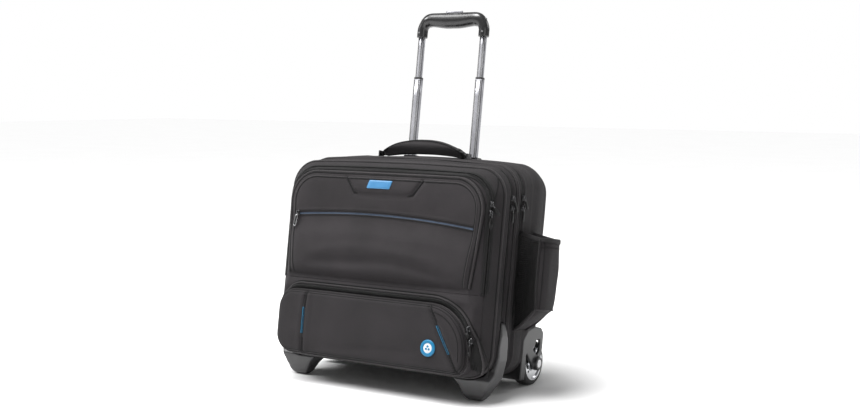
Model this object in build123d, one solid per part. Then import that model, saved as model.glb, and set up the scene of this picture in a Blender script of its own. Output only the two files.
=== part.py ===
from build123d import *
import math
import os

# Rolling laptop case, millimetres.  Everything is drawn upright in the bag's own frame:
# X to the right seen from the front, Y (called depth) from front to back, Z (called height)
# up the bag.  Depth 0 and height 0 are the front lower edge of the main body.  At the end the
# whole bag is leaned back on its feet and wheels and moved so that the origin lies on the
# floor, under the middle of its box.

lean = 8.64                # degrees the bag leans back when it stands
stand_forward = 20.5       # the feet touch the floor this far behind the bag's front edge
stand_up = 41.4            # floor to the front lower edge

body_half = 211.0          # half width of the main body
wall = 2.5                 # padded fabric wall
gap = 0.4                  # room between two sections that open

depth_flap_front = -31.0   # face of the front panel
depth_flap_back = -18.4    # zip 1, between the front panel and the organiser
depth_zip2 = 24.0          # zip between the organiser and the document section
depth_zip3 = 61.2          # zip between the document section and the rear section
depth_back = 178.0         # back of the bag

flap_fold = 132.0          # height where the front panel folds down
pocket_face = -45.0        # front of the lower pocket's bulge
pocket_bottom = 5.0
pocket_top = 112.0

tube_half_spacing = 64.0   # half the distance between the trolley tubes
tube_depth = 147.0
outer_tube = (16.0, 15.4)  # width and depth of the fixed tube
middle_tube = (13.2, 12.6)
inner_tube = (10.4, 10.0)
tube_wall = 1.1
board_depth = 133.8        # stiff plate in front of the tubes
outer_tube_top = 357.0
collar_top = 366.0
middle_tube_top = 505.0    # height with the handle half out, as it stands
middle_tube_length = 350.0
inner_tube_length = 345.0
grip_bottom = 581.0
grip_top = 625.0

wheel_radius = 38.0
wheel_width = 24.0
wheel_half_spacing = 193.0
axle_behind = 146.0        # axle behind the line where the feet touch the floor
axle_radius = 4.0
bearing_radius = 11.0
bearing_width = 7.0
running = 0.05             # radial room in a running fit

foot_tip_radius = 12.0

handle_depth = 86.0        # carry handle, front to back place
handle_half = 88.0         # half the distance between its ends
handle_pivot = 362.8
handle_top = 391.0
handle_width = 27.0
hinge_pin = 2.0
screw_radius = 3.6

# depth, half width, top, fall of the crowned top at the sides, corner radius
stations = [
    (-31.0, 190.0, 318.0, 2.0, 52.0),
    (-18.0, 198.5, 326.5, 2.0, 50.0),
    (0.0, 211.0, 338.0, 3.0, 45.0),
    (24.0, 211.0, 346.0, 5.0, 43.0),
    (61.0, 211.0, 355.0, 7.0, 42.0),
    (100.0, 211.0, 360.5, 8.0, 40.0),
    (120.0, 210.0, 362.0, 8.0, 40.0),
    (145.0, 207.0, 360.5, 8.0, 40.0),
    (165.0, 201.0, 356.5, 8.0, 40.0),
    (178.0, 195.0, 349.0, 8.0, 38.0),
]
bottom_radius = 40.0
parts = {}


def station_at(depth):
    """Half width, top, fall and corner radius of the bag at one depth."""
    for low, high in zip(stations, stations[1:]):
        if low[0] <= depth <= high[0]:
            share = (depth - low[0]) / (high[0] - low[0])
            return [a + (b - a) * share for a, b in zip(low[1:], high[1:])]
    ends = stations[0] if depth < stations[0][0] else stations[-1]
    return list(ends[1:])


def facing_front(depth, x=0.0, height=0.0):
    """A plane across the bag: its x is the bag's X, its y is height, its normal points forward."""
    return Plane(origin=(x, depth, height), x_dir=(1, 0, 0), z_dir=(0, -1, 0))


def facing_side(x, depth=0.0, height=0.0):
    """A plane along the bag: its x is depth, its y is height, its normal points to +X."""
    return Plane(origin=(x, depth, height), x_dir=(0, 1, 0), z_dir=(1, 0, 0))


def slab(face, front, back):
    """A face drawn in X and height, given a thickness from depth front to depth back."""
    return extrude(facing_front(back) * face, amount=back - front)


def side_slab(face, left, right):
    """A face drawn in depth and height, given a thickness from X left to X right."""
    return extrude(facing_side(left) * face, amount=right - left)


def block(x0, x1, y0, y1, z0, z1):
    """A plain box between six limits."""
    centre = ((x0 + x1) / 2, (y0 + y1) / 2, (z0 + z1) / 2)
    return Pos(*centre) * Box(x1 - x0, y1 - y0, z1 - z0)


def cylinder_x(radius, x0, x1, depth, height):
    """A round bar along X."""
    return Pos((x0 + x1) / 2, depth, height) * Rot(0, 90, 0) * Cylinder(radius, x1 - x0)


def cylinder_y(radius, y0, y1, x, height):
    """A round bar along the depth."""
    return Pos(x, (y0 + y1) / 2, height) * Rot(90, 0, 0) * Cylinder(radius, y1 - y0)


def tube(size, bottom, top, x):
    """One straight rectangular tube with rounded corners, open at both ends."""
    outer = RectangleRounded(size[0], size[1], 2.6)
    inner = RectangleRounded(size[0] - 2 * tube_wall, size[1] - 2 * tube_wall, 1.6)
    return Pos(x, tube_depth, bottom) * extrude(outer - inner, amount=top - bottom)


def bag_outline(half, top, fall, radius, bottom=0.6, low_radius=bottom_radius):
    """The bag's cross section in X and height: flat bottom, upright sides, crowned top."""
    side = top - fall
    floor = Line((-half, bottom), (half, bottom))
    right = Line((half, bottom), (half, side))
    crown = ThreePointArc((half, side), (0, top), (-half, side))
    left = Line((-half, side), (-half, bottom))
    face = make_face([floor, right, crown, left])
    face = fillet(face.vertices().sort_by(Axis.Y)[2:], radius)
    return fillet(face.vertices().sort_by(Axis.Y)[:2], low_radius)


def bag_body(depths, inset=0.0, front=None):
    """A solid through the bag's outlines at the given depths, drawn in by inset all round.

    The first outline can be moved to the depth called front, to make a cutter that reaches past it.
    """
    sections = []
    for depth in depths:
        half, top, fall, radius = station_at(depth)
        face = bag_outline(half - inset, top - inset, fall, radius - inset, 0.6 + inset,
                           bottom_radius - inset)
        place = depth
        if front is not None and depth == depths[0]:
            place = front
        sections.append(facing_front(place) * face)
    return loft(sections, ruled=True)


def between(front, back):
    """The depths to draw: both ends and every station between them."""
    return [front] + [s[0] for s in stations if front < s[0] < back] + [back]


def to_bag(y, z):
    """Depth and height of a point given from the floor line under the feet."""
    turn = math.radians(lean)
    y, z = y + stand_forward, z - stand_up
    return y * math.cos(turn) - z * math.sin(turn), y * math.sin(turn) + z * math.cos(turn)


axle_depth, axle_height = to_bag(axle_behind, wheel_radius)
tip_depth, tip_height = to_bag(0.0, foot_tip_radius)


def rear_shell():
    """The rear section: a fabric tray, closed at the back, open to the front at zip 3."""
    front = depth_zip3 + gap / 2
    shell = bag_body(between(front, depth_back))
    shell -= bag_body(between(front, depth_back - wall), wall, front=front - 5)
    for side in (-1, 1):
        x = side * tube_half_spacing
        shell -= block(x - 12.2, x + 12.2, tube_depth - 11.7, tube_depth + 11.7, 300, 400)
        low, high = sorted((side * 174.6, side * 260))
        well = housing_outline(0.4)
        shell -= side_slab(well, low, high)
        shell -= cylinder_x(41.5, low, high, axle_depth, axle_height)
        shell -= block(low, high, axle_depth - 41, 260, -60, axle_height)
    return shell.solids().sort_by(SortBy.VOLUME)[-1]


def back_board():
    """The stiff plate between the load and the tubes."""
    half, top, fall, radius = station_at(board_depth)
    face = bag_outline(half - 12, top - 6, fall, radius, 6.5, 30)
    board = slab(face, board_depth - 1.1, board_depth + 1.1)
    for side in (-1, 1):
        low, high = sorted((side * 174, side * 260))
        board -= block(low, high, 100, 200, -10, 92)
    return board


def base_plate():
    """The moulded floor plate that carries the feet and the wheel housings."""
    face = Pos(0, 92) * RectangleRounded(2 * 170, 172, 8)
    plate = extrude(Plane.XY.offset(-4.0) * face, amount=4.0)
    for depth in (60, 120):
        plate -= block(-120, 120, depth - 1.5, depth + 1.5, -4.0, -2.6)
    return plate


def housing_outline(grow=0.0):
    """Side view of a wheel housing, in depth and height."""
    a, h = axle_depth, axle_height
    points = [(a - 57, -5), (a - 41, -5), (a - 41, h + 18), (a - 12, h - 9), (a + 9, h - 9),
              (a + 14, h + 8), (a + 18, h + 26), (a + 18, h + 52), (a + 8, h + 60),
              (a - 18, h + 63), (a - 42, h + 56), (a - 57, h + 40)]
    face = make_face(Polyline(*points, close=True))
    return offset(face, amount=grow, kind=Kind.INTERSECTION) if grow else face


def wheel_housing(side):
    """The moulded fork and mud guard around one wheel."""
    a, h = axle_depth, axle_height
    outer, inner = 211.0, 175.0
    low, high = sorted((side * inner, side * outer))
    body = side_slab(housing_outline(), low, high)
    well_low, well_high = sorted((side * 179.6, side * 206.2))
    body -= cylinder_x(41.0, well_low, well_high, a, h)
    window = make_face(Polyline((a - 17, h + 22), (a - 6, h + 40), (a + 6, h + 40),
                                (a + 6, h + 22), (a - 3, h + 14), close=True))
    window_low, window_high = sorted((side * 206.0, side * 212))
    body -= side_slab(window, window_low, window_high)
    boss_low, boss_high = sorted((side * 206.4, side * 216.0))
    body += cylinder_x(12.0, boss_low, boss_high, a, h)
    body -= cylinder_x(axle_radius + 0.02, low - 10, high + 10, a, h)
    cap_low, cap_high = sorted((side * 214.5, side * 216.5))
    return body - cylinder_x(axle_radius + 3, cap_low, cap_high, a, h)


def wheel_axles():
    """Two steel pins with a wide head on the outside."""
    pins = []
    for side in (-1, 1):
        low, high = sorted((side * 173.0, side * 215.4))
        pin = cylinder_x(axle_radius, low, high, axle_depth, axle_height)
        low, high = sorted((side * 214.5, side * 216.0))
        pins.append(pin + cylinder_x(axle_radius + 2.8, low, high, axle_depth, axle_height))
    return Compound(pins)


def foot(side):
    """A moulded front foot: a horn down to the floor and an arm up the bag's side."""
    front_view = make_face(Polyline(
        (140, -4.0), (171, -4.0), (192.5, 2.5), (207, 18), (211.5, 40), (211.5, 92), (214, 92),
        (217.5, 70), (217.5, 30), (213, 4), (204, -14), (195, -30), (187, -39), (166, -39),
        (158, -30), (150, -15), close=True))
    radius = foot_tip_radius
    start = (tip_depth - radius, tip_height)
    end = (tip_depth + radius, tip_height)
    under = ThreePointArc(start, (tip_depth, tip_height - radius), end)
    rest = Polyline(end, (43.5, -4), (43.0, 57), (34, 92.5), (21, 92.5), (15, 57), (14, 12),
                    (6.0, -4), start)
    side_view = make_face([under] + list(rest.edges()))
    shape = slab(front_view, -5, 60) & side_slab(side_view, 130, 230)
    corner = bag_body([0.0, 60.0], 0.0)
    grown = slab(offset(bag_outline(body_half, 340, 3, 40), amount=0.6), -5, 60)
    shape = shape - grown - corner
    return shape if side > 0 else mirror(shape, Plane.YZ)


def screws():
    """Cross headed screws under the floor plate."""
    heads = []
    for side in (-1, 1):
        for depth, x in ((36, 130), (66, 110), (112, 150), (150, 150)):
            head = Pos(0, 0, -4.9) * Cylinder(screw_radius, 1.8)
            slot_place = Pos(0, 0, -5.6)
            head -= slot_place * Box(4.2, 0.9, 0.8)
            head -= slot_place * Box(0.9, 4.2, 0.8)
            heads.append(Pos(side * x, depth, 0) * head)
    return Compound(heads)


def tube_pair(size, bottom, top):
    """The left and right tube of one stage."""
    return Compound([tube(size, bottom, top, side * tube_half_spacing) for side in (-1, 1)])


def tube_bracket():
    """The moulded bridge that holds the fixed tubes at the floor plate."""
    bridge = block(-84, 84, 136.8, 160, 0.0, 14)
    bridge = fillet(bridge.edges().filter_by(Axis.Z), 4)
    for side in (-1, 1):
        x = side * tube_half_spacing
        bridge -= block(x - 8.02, x + 8.02, tube_depth - 7.72, tube_depth + 7.72, 4, 20)
    return bridge & bag_body(between(100.0, depth_back - wall - 0.2), wall + 0.1)


def collars():
    """Glossy bezels where the trolley comes out of the top."""
    rings = []
    for side in (-1, 1):
        flange = extrude(RectangleRounded(24, 23, 4), amount=collar_top - 344)
        flange = Pos(side * tube_half_spacing, tube_depth, 344) * flange
        flange = chamfer(flange.edges().group_by(Axis.Z)[-1], 1.2)
        x = side * tube_half_spacing
        flange -= block(x - 8.02, x + 8.02, tube_depth - 7.72, tube_depth + 7.72, 340, outer_tube_top)
        flange -= block(x - 6.8, x + 6.8, tube_depth - 6.5, tube_depth + 6.5, 340, 370)
        rings.append(flange)
    return Compound(rings)


def stage_caps():
    """Dark bushes at the top of the middle tubes."""
    rings = []
    for side in (-1, 1):
        x = side * tube_half_spacing
        ring = Pos(x, tube_depth, middle_tube_top) * extrude(RectangleRounded(13.6, 13.0, 2.8), amount=3)
        ring -= block(x - 5.35, x + 5.35, tube_depth - 5.15, tube_depth + 5.15, 500, 512)
        rings.append(ring)
    return Compound(rings)


def grip():
    """The trolley grip: a bar with a full underside and two short legs over the inner tubes."""
    top, low = grip_top, grip_bottom
    outer = Polyline((72, low), (75.5, low + 20), (73, low + 33), (62, top - 3), (48, top), (-48, top),
                     (-62, top - 3), (-73, low + 33), (-75.5, low + 20), (-72, low), (-56.5, low),
                     (-56.5, low + 12), (-48, low + 22))
    under = ThreePointArc((-48, low + 22), (0, low + 15), (48, low + 22))
    inner = Polyline((48, low + 22), (56.5, low + 12), (56.5, low), (72, low))
    face = make_face(list(outer.edges()) + [under] + list(inner.edges()))
    bar = slab(face, tube_depth - 12.5, tube_depth + 12.5)
    shape = make_face(Polyline((-9, low), (9, low), (9.5, low + 12), (12.5, low + 24), (12, top - 5),
                               (8, top), (-8, top), (-12, top - 5), (-12.5, low + 24),
                               (-9.5, low + 12), close=True))
    bar = bar & side_slab(Pos(tube_depth, 0) * shape, -80, 80)
    for side in (-1, 1):
        x = side * tube_half_spacing
        bar -= block(x - 5.25, x + 5.25, tube_depth - 5.05, tube_depth + 5.05, low - 1, low + 14)
        bar -= Pos(x, tube_depth, low + 20) * Cylinder(2.3, 30)
    bar -= block(-67, 67, tube_depth - 3.6, tube_depth + 3.6, top - 17.2, top - 10)
    for side in (-1, 1):
        bar -= Pos(side * 8, tube_depth, top - 5) * Cylinder(2.4, 12)
    bar -= Pos(0, tube_depth, top - 4.5) * extrude(Ellipse(17.8, 5.8), amount=10)
    return bar - grip_screws()


def grip_screws():
    """One small screw on the front of each leg."""
    front = tube_depth - 9.9
    height = grip_bottom + 8
    return Compound([cylinder_y(1.9, front, front + 4, side * 65.5, height) for side in (-1, 1)])


def release_button():
    """Oval push button with two posts down to the cross bar."""
    top = grip_top
    pad = Pos(0, tube_depth, top) * extrude(Ellipse(17.5, 5.5), amount=3.6)
    pad = fillet(pad.edges().group_by(Axis.Z)[-1], 1.4)
    for side in (-1, 1):
        pad += Pos(side * 8, tube_depth, top - 5.2) * Cylinder(2.0, 10.6)
    return pad


def pushrods():
    """The cross bar in the grip and a rod down each inner tube."""
    top = grip_top - 10.5
    bar = block(-66.5, 66.5, tube_depth - 3.0, tube_depth + 3.0, top - 3.0, top)
    for side in (-1, 1):
        rod = Pos(side * tube_half_spacing, tube_depth, (266 + top) / 2) * Cylinder(1.6, top - 266)
        bar += rod
    return bar


def inner_plugs():
    """Sliding plugs on the lower ends of the inner tubes, bored for the lock pins."""
    plugs = []
    bottom = grip_bottom + 14 - inner_tube_length
    for side in (-1, 1):
        x = side * tube_half_spacing
        plug = block(x - 5.2, x + 5.2, tube_depth - 4.95, tube_depth + 4.95, bottom - 20, bottom)
        plug = chamfer(plug.edges().filter_by(Axis.Z), 1.2)
        plug -= cylinder_y(2.05, tube_depth - 1, tube_depth + 8, x, bottom - 10)
        plugs.append(plug)
    return Compound(plugs)


def lock_pins():
    """The two spring pins that hold the inner tubes."""
    bottom = grip_bottom + 14 - inner_tube_length
    pins = []
    for side in (-1, 1):
        pins.append(cylinder_y(2.0, tube_depth + 0.4, tube_depth + 5.1,
                               side * tube_half_spacing, bottom - 10))
    return Compound(pins)


def tyre(side):
    """Soft tread with rounded shoulders."""
    x = side * wheel_half_spacing
    half = wheel_width / 2
    ring = cylinder_x(wheel_radius, x - half, x + half, axle_depth, axle_height)
    ring = fillet(ring.edges().filter_by(GeomType.CIRCLE), 5)
    return ring - cylinder_x(29.5, x - half - 1, x + half + 1, axle_depth, axle_height)


def hub(side):
    """Wheel centre with a dished outer disc and one round hole."""
    x = side * wheel_half_spacing
    half = wheel_width / 2 + 0.4
    body = cylinder_x(29.5, x - half, x + half, axle_depth, axle_height)
    body -= cylinder_x(axle_radius + 2, x - 20, x + 20, axle_depth, axle_height)
    for end in (-1, 1):
        low, high = sorted((x + end * (half - bearing_width), x + end * (half + 1)))
        body -= cylinder_x(bearing_radius, low, high, axle_depth, axle_height)
    for end in (-1, 1):
        low, high = sorted((x + end * (half - 2), x + end * (half + 1)))
        body -= (cylinder_x(26, low, high, axle_depth, axle_height)
                 - cylinder_x(14, low, high, axle_depth, axle_height))
    low, high = sorted((x + side * 2, x + side * (half + 1)))
    body -= cylinder_x(2.4, low, high, axle_depth - 14, axle_height - 15)
    return body


def bearings(side):
    """Two plain ball races, one in each face of the hub."""
    x = side * wheel_half_spacing
    half = wheel_width / 2 + 0.4
    races = []
    for end in (-1, 1):
        low, high = sorted((x + end * (half - bearing_width), x + end * half))
        race = cylinder_x(bearing_radius, low, high, axle_depth, axle_height)
        race -= cylinder_x(axle_radius + running, low - 1, high + 1, axle_depth, axle_height)
        races.append(race)
    return Compound(races)


def carry_handle():
    """The padded top handle, an arch with a pivot bore in each end."""
    end, top, pivot = handle_half, handle_top, handle_pivot
    outer = ThreePointArc((end, pivot + 4), (0, top), (-end, pivot + 4))
    foot_line = pivot - 3.9
    left = Polyline((-end, pivot + 4), (-end, foot_line), (-end + 15, foot_line))
    under = ThreePointArc((-end + 15, foot_line), (0, top - 20.0), (end - 15, foot_line))
    right = Polyline((end - 15, foot_line), (end, foot_line), (end, pivot + 4))
    face = make_face([outer] + list(left.edges()) + [under] + list(right.edges()))
    half = handle_width / 2
    arch = slab(face, handle_depth - half, handle_depth + half)
    across = make_face(Polyline((-2.4, pivot - 4), (2.4, pivot - 4), (4.6, pivot), (8, pivot + 5),
                                (half - 1, pivot + 11), (half, top - 7), (8, top + 1), (-8, top + 1),
                                (-half, top - 7), (1 - half, pivot + 11), (-8, pivot + 5),
                                (-4.6, pivot), close=True))
    arch = arch & side_slab(Pos(handle_depth, 0) * across, -end, end)
    for side in (-1, 1):
        low, high = sorted((side * (end - 12), side * (end + 1)))
        arch -= cylinder_x(hinge_pin + 0.06, low, high, handle_depth, pivot)
    return arch


def handle_tabs():
    """The sewn anchor plates with the pins that the carry handle turns on."""
    tabs = []
    for side in (-1, 1):
        low, high = sorted((side * (handle_half + 0.6), side * (handle_half + 3.2)))
        ear = block(low, high, handle_depth - 7, handle_depth + 7, 352, handle_pivot + 4)
        low, high = sorted((side * (handle_half - 10), side * (handle_half + 2)))
        tabs.append(ear + cylinder_x(hinge_pin, low, high, handle_depth, handle_pivot))
    return Compound(tabs)


def bottle_pocket():
    """Box pleated side pocket, open at the top, held open as when it carries a bottle."""
    plan = [(211.0, 67.5), (256, 49), (266, 54), (271.5, 70), (271, 92), (262, 108), (211.0, 112)]
    inner_plan = [(200.0, 69.6), (213, 69.2), (255, 51.8), (264, 55.6), (269, 71), (268.6, 91), (260, 106),
                  (213, 110), (200.0, 110)]
    outline = [(211.0, 79), (234, 84), (256, 97), (270, 118), (272, 232), (211.0, 241.5)]
    hollow = [(200.0, 81.5), (211, 81.5), (233, 86.5), (254.5, 99), (268, 120), (270, 260),
              (200.0, 260)]

    def prism(points, walls):
        upright = extrude(Plane.XY.offset(60) * make_face(Polyline(*points, close=True)), amount=220)
        across = slab(make_face(Polyline(*walls, close=True)), 30, 130)
        return upright & across

    return prism(plan, outline) - prism(inner_plan, hollow)


def middle_shell():
    """The document section: a tray open to the front at zip 2, closed in front of zip 3."""
    front, back = depth_zip2 + gap / 2, depth_zip3 - gap / 2
    shell = bag_body(between(front, back))
    return shell - bag_body(between(front, back - wall), wall, front=front - 5)


def front_shell():
    """The organiser section: a tray open to the front where the front panel folds down.

    Below the fold it reaches further forward, with the lower pocket's room and mouth in it.
    """
    front, back = depth_flap_back + gap, depth_zip2 - gap / 2
    divider = -15.0
    shell = bag_body([depth_flap_front, front, 0.0, back])
    shell -= block(-250, 250, -60, front, flap_fold - gap, 400)
    shell -= bag_body(between(divider + 1, back - wall), wall)
    shell -= bag_body([front - 4, -12.0], wall + 1) & block(-250, 250, -60, 0, flap_fold, 400)
    pocket_room = bag_body([depth_flap_front + wall, divider - 1], wall)
    shell -= pocket_room & block(-250, 250, -60, 0, 0, flap_fold - wall - gap)
    return shell - slab(pocket_outline(-7.0), depth_flap_front - 1, depth_flap_front + wall + 1)


def front_flap():
    """The padded front panel above the fold line."""
    panel = bag_body([depth_flap_front, depth_flap_back])
    return panel & block(-250, 250, -40, 0, flap_fold, 400)


def pocket_outline(grow=0.0):
    """Front view of the lower pocket: straight at the left, falling away at the right."""
    low, top = pocket_bottom, pocket_top
    edges = [
        Line((-158, low), (158, low)),
        ThreePointArc((158, low), (169, 9.5), (173.5, 20)),
        Line((173.5, 20), (170, 48)),
        ThreePointArc((170, 48), (152, 92), (108, top)),
        Line((108, top), (-158, top)),
        ThreePointArc((-158, top), (-181, 102), (-190, 80)),
        Line((-190, 80), (-190, 36)),
        ThreePointArc((-190, 36), (-181, 14), (-158, low)),
    ]
    face = make_face(edges)
    return offset(face, amount=grow) if grow else face


def lower_pocket_front():
    """The bulging front of the lower pocket, a shallow tray open to the back."""
    back = depth_flap_front - gap
    tray = slab(pocket_outline(), pocket_face + 7, back)
    tray += slab(pocket_outline(-4.0), pocket_face + 2.5, pocket_face + 7)
    tray += slab(pocket_outline(-9.0), pocket_face, pocket_face + 2.5)
    return tray - slab(pocket_outline(-wall - 4), pocket_face + 6, back + 1)


def pocket_zip_tape():
    """Zip around the top and right of the lower pocket."""
    back = depth_flap_front
    ring = slab(pocket_outline(12.0), back - 1.4, back) - slab(pocket_outline(0.6), back - 2, back + 1)
    return ring & (block(-250, 250, -60, 0, 60, 200) + block(100, 250, -60, 0, 24, 61))


def outline_tape(front, back, low, thick=0.9, room=0.15):
    """A zip around both sides and the top of the bag, above height low."""
    ring = bag_body(between(front, back), -room - thick)
    ring -= bag_body(between(front - 1, back + 1), -room)
    return ring & block(-300, 300, -60, 200, low, 400)


def blue_zip_tape():
    """The arched zip across the front panel."""
    face = depth_flap_front
    low = ThreePointArc((-172, 239.5), (-4, 245.7), (176, 233.8))
    high = ThreePointArc((-172, 245.5), (-4, 251.7), (176, 239.8))
    band = make_face([low, Line(low @ 1, high @ 1), high, Line(high @ 0, low @ 0)])
    return slab(band, face - 1.2, face)


def label():
    """Blank slanted label on the front panel."""
    face = make_face(Polyline((-32.5, 292), (14, 292), (18.5, 306), (-28, 306), close=True))
    return slab(face, depth_flap_front - 1.2, depth_flap_front)


def badge():
    """Round badge: a raised ring on a disc."""
    disc = cylinder_y(13.5, pocket_face - 1.4, pocket_face, 121, 42)
    return disc + (cylinder_y(13.5, pocket_face - 2.0, pocket_face, 121, 42)
                   - cylinder_y(8.2, pocket_face - 3, pocket_face + 1, 121, 42))


def accents():
    """Two narrow inserts in the pocket's side seams."""
    face = pocket_face
    left = slab(Pos(-128, 61) * Rectangle(4.5, 46), face - 0.9, face)
    slope = math.degrees(math.atan2(161 - 132.5, 79 - 34.5))
    right = slab(Pos(146.75, 56.75) * Rot(0, 0, slope) * Rectangle(4.5, 52), face - 0.9, face)
    return Compound([left, right])


slider_height = 2.4        # thickness of a slider's body
puller_lift = 4.1          # pin centre above the zip
puller_length = 24.0


def slider():
    """One zip slider on its back: hanging direction is -Y, away from the bag is +Z."""
    body = Pos(0, 0, slider_height / 2) * Box(7, 9, slider_height)
    body = chamfer(body.edges().group_by(Axis.Z)[-1], 0.6)
    for side in (-1, 1):
        body += Pos(side * 2.7, 0, 3.4) * Box(1.2, 2.0, 3.2)
    return body + Pos(0, 0, puller_lift) * Rot(0, 90, 0) * Cylinder(0.6, 6.4)


def puller(length=puller_length, sideways=0.0, width=5.0):
    """The tab that hangs from a slider's pin, leaning sideways by some degrees."""
    eye = Pos(0, 0, puller_lift) * Rot(0, 90, 0) * Cylinder(1.5, 3.6)
    neck = Pos(0, -2.6, puller_lift) * Box(2.0, 4.0, 1.4)
    tab = Pos(0, -4.4 - (length - 4.4) / 2, puller_lift) * Box(width, length - 4.4, 1.4)
    tab = fillet(tab.edges().filter_by(Axis.Z), 1.6)
    tab = Rot(0, 0, sideways) * (neck + tab)
    return eye + tab - Pos(0, 0, puller_lift) * Rot(0, 90, 0) * Cylinder(0.6 + 0.07, 8)


side_face = body_half + 1.3
gusset_turn = math.radians(34.8)    # the front corner's slant, seen from above


def facing_gusset(height):
    """A plane on the slanted front corner at the right, at the organiser's zip."""
    normal = (math.cos(gusset_turn), -math.sin(gusset_turn), 0)
    along = (math.sin(gusset_turn), math.cos(gusset_turn), 0)
    on_zip = (198.4 + 1.6 * normal[0], -18.2 + 1.6 * normal[1], height)
    return Plane(origin=on_zip, x_dir=along, z_dir=normal)


# name: plane of the slider on the closed bag
slider_places = {
    "zip1_upper": facing_gusset(279),
    "zip1_lower": facing_gusset(264),
    "zip2_upper": facing_side(side_face, 24.0, 292),
    "zip2_lower": facing_side(side_face, 24.0, 276),
    "zip3_upper": facing_side(side_face, 61.2, 296),
    "zip3_lower": facing_side(side_face, 61.2, 280),
    "pocket_zip_upper": facing_front(depth_flap_front - 1.6, 184.5, 79),
    "pocket_zip_lower": facing_front(depth_flap_front - 1.6, 190.5, 60),
    "front_zip": facing_front(depth_flap_front - 1.4, -172, 242.6),
}
puller_lean = 36.0         # an upper puller hangs beside the slider below it
puller_shapes = {
    "zip1_upper": (22.0, puller_lean),
    "zip2_upper": (26.0, puller_lean),
    "zip3_upper": (22.0, puller_lean),
    "pocket_zip_upper": (14.0, 0.0),
}

parts["rear_shell"] = rear_shell()
parts["back_board"] = back_board()
parts["base_plate"] = base_plate()
parts["outer_tubes"] = tube_pair(outer_tube, 4.2, outer_tube_top)
parts["tube_bracket"] = tube_bracket()
parts["collars"] = collars()
parts["bottle_pocket"] = bottle_pocket()
parts["base_screws"] = screws()
parts["handle_tabs"] = handle_tabs()
parts["carry_handle"] = carry_handle()
parts["wheel_axles"] = wheel_axles()
for name, side in (("left", -1), ("right", 1)):
    parts["wheel_housing_" + name] = wheel_housing(side)
    parts["foot_" + name] = foot(side)
    parts["tyre_" + name] = tyre(side)
    parts["hub_" + name] = hub(side)
    parts["bearings_" + name] = bearings(side)
parts["zip3_tape"] = outline_tape(depth_zip3 + gap / 2, depth_zip3 + 5.2, 90.0)
parts["zip2_tape"] = outline_tape(depth_zip2 + gap / 2, depth_zip2 + 5.2, 96.0)
parts["middle_shell"] = middle_shell()
parts["front_shell"] = front_shell()
parts["zip1_tape"] = outline_tape(depth_flap_back + gap, depth_flap_back + 4.5, flap_fold + 2, 0.7, 0.4)
parts["pocket_zip_tape"] = pocket_zip_tape()
parts["front_flap"] = front_flap()
parts["blue_zip_tape"] = blue_zip_tape()
parts["label"] = label()
parts["lower_pocket_front"] = lower_pocket_front()
parts["badge"] = badge()
parts["accents"] = accents()
parts["middle_tubes"] = tube_pair(middle_tube, middle_tube_top - middle_tube_length, middle_tube_top)
parts["middle_tube_caps"] = stage_caps()
parts["inner_tubes"] = tube_pair(inner_tube, grip_bottom + 14 - inner_tube_length, grip_bottom + 14)
parts["grip"] = grip()
parts["grip_screws"] = grip_screws()
parts["inner_tube_plugs"] = inner_plugs()
parts["release_button"] = release_button()
parts["pushrods"] = pushrods()
parts["lock_pins"] = lock_pins()
for name, place in slider_places.items():
    parts[name + "_slider"] = place * slider()
    parts[name + "_puller"] = place * puller(*puller_shapes.get(name, (puller_length, 0.0)))

standing = Pos(0, -stand_forward, stand_up) * Rot(-lean, 0, 0)
stood = {name: standing * shape for name, shape in parts.items()}
box = Compound(list(stood.values())).bounding_box()
shift = Vector(-box.center().X, -box.center().Y, -box.min.Z)


def to_row(x, depth, height):
    """A point of the upright bag frame in the finished part's frame, in millimetres."""
    turn = math.radians(lean)
    y = depth * math.cos(turn) + height * math.sin(turn) - stand_forward
    z = height * math.cos(turn) - depth * math.sin(turn) + stand_up
    return x + shift.X, y + shift.Y, z + shift.Z


os.makedirs("parts", exist_ok=True)
for name, shape in stood.items():
    export_step(Pos(*shift) * shape, os.path.join("parts", name + ".step"))
print(len(stood), "nodes; box", [round(v, 1) for v in (*box.min, *box.max)], "shift", shift)
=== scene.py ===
import math
import bmesh
import bpy
import numpy as np
from mathutils import Matrix, Vector


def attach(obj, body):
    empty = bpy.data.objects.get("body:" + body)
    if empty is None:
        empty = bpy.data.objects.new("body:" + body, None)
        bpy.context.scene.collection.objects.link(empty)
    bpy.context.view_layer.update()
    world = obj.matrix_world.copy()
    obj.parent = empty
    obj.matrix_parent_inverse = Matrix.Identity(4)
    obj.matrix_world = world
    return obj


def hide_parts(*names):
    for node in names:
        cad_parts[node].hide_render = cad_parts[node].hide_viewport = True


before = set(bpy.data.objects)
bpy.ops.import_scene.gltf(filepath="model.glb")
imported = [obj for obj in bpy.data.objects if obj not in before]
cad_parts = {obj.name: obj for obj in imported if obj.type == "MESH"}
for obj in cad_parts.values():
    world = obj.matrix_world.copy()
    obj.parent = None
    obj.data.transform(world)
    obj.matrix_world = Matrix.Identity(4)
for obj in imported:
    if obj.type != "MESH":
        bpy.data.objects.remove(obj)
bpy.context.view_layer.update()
print("frame loaded")

# The bag is drawn upright in millimetres: x to the right, depth to the back, height up.
stand = {"lean": math.radians(8.64), "forward": 20.5, "up": 41.4, "shiftX": -27.0, "shiftY": -83.4728}


def place(points):
    p = np.asarray(points, float)
    x, depth, height = p[..., 0], p[..., 1], p[..., 2]
    cosine, sine = math.cos(stand["lean"]), math.sin(stand["lean"])
    y = depth * cosine + height * sine - stand["forward"] + stand["shiftY"]
    z = height * cosine - depth * sine + stand["up"]
    return np.stack([x + stand["shiftX"], y, z], -1) / 1000


def atDepth(flat, depth):
    # points over x and height, set at a depth
    return np.column_stack([flat[:, 0], np.broadcast_to(depth, len(flat)), flat[:, 1]])


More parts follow.
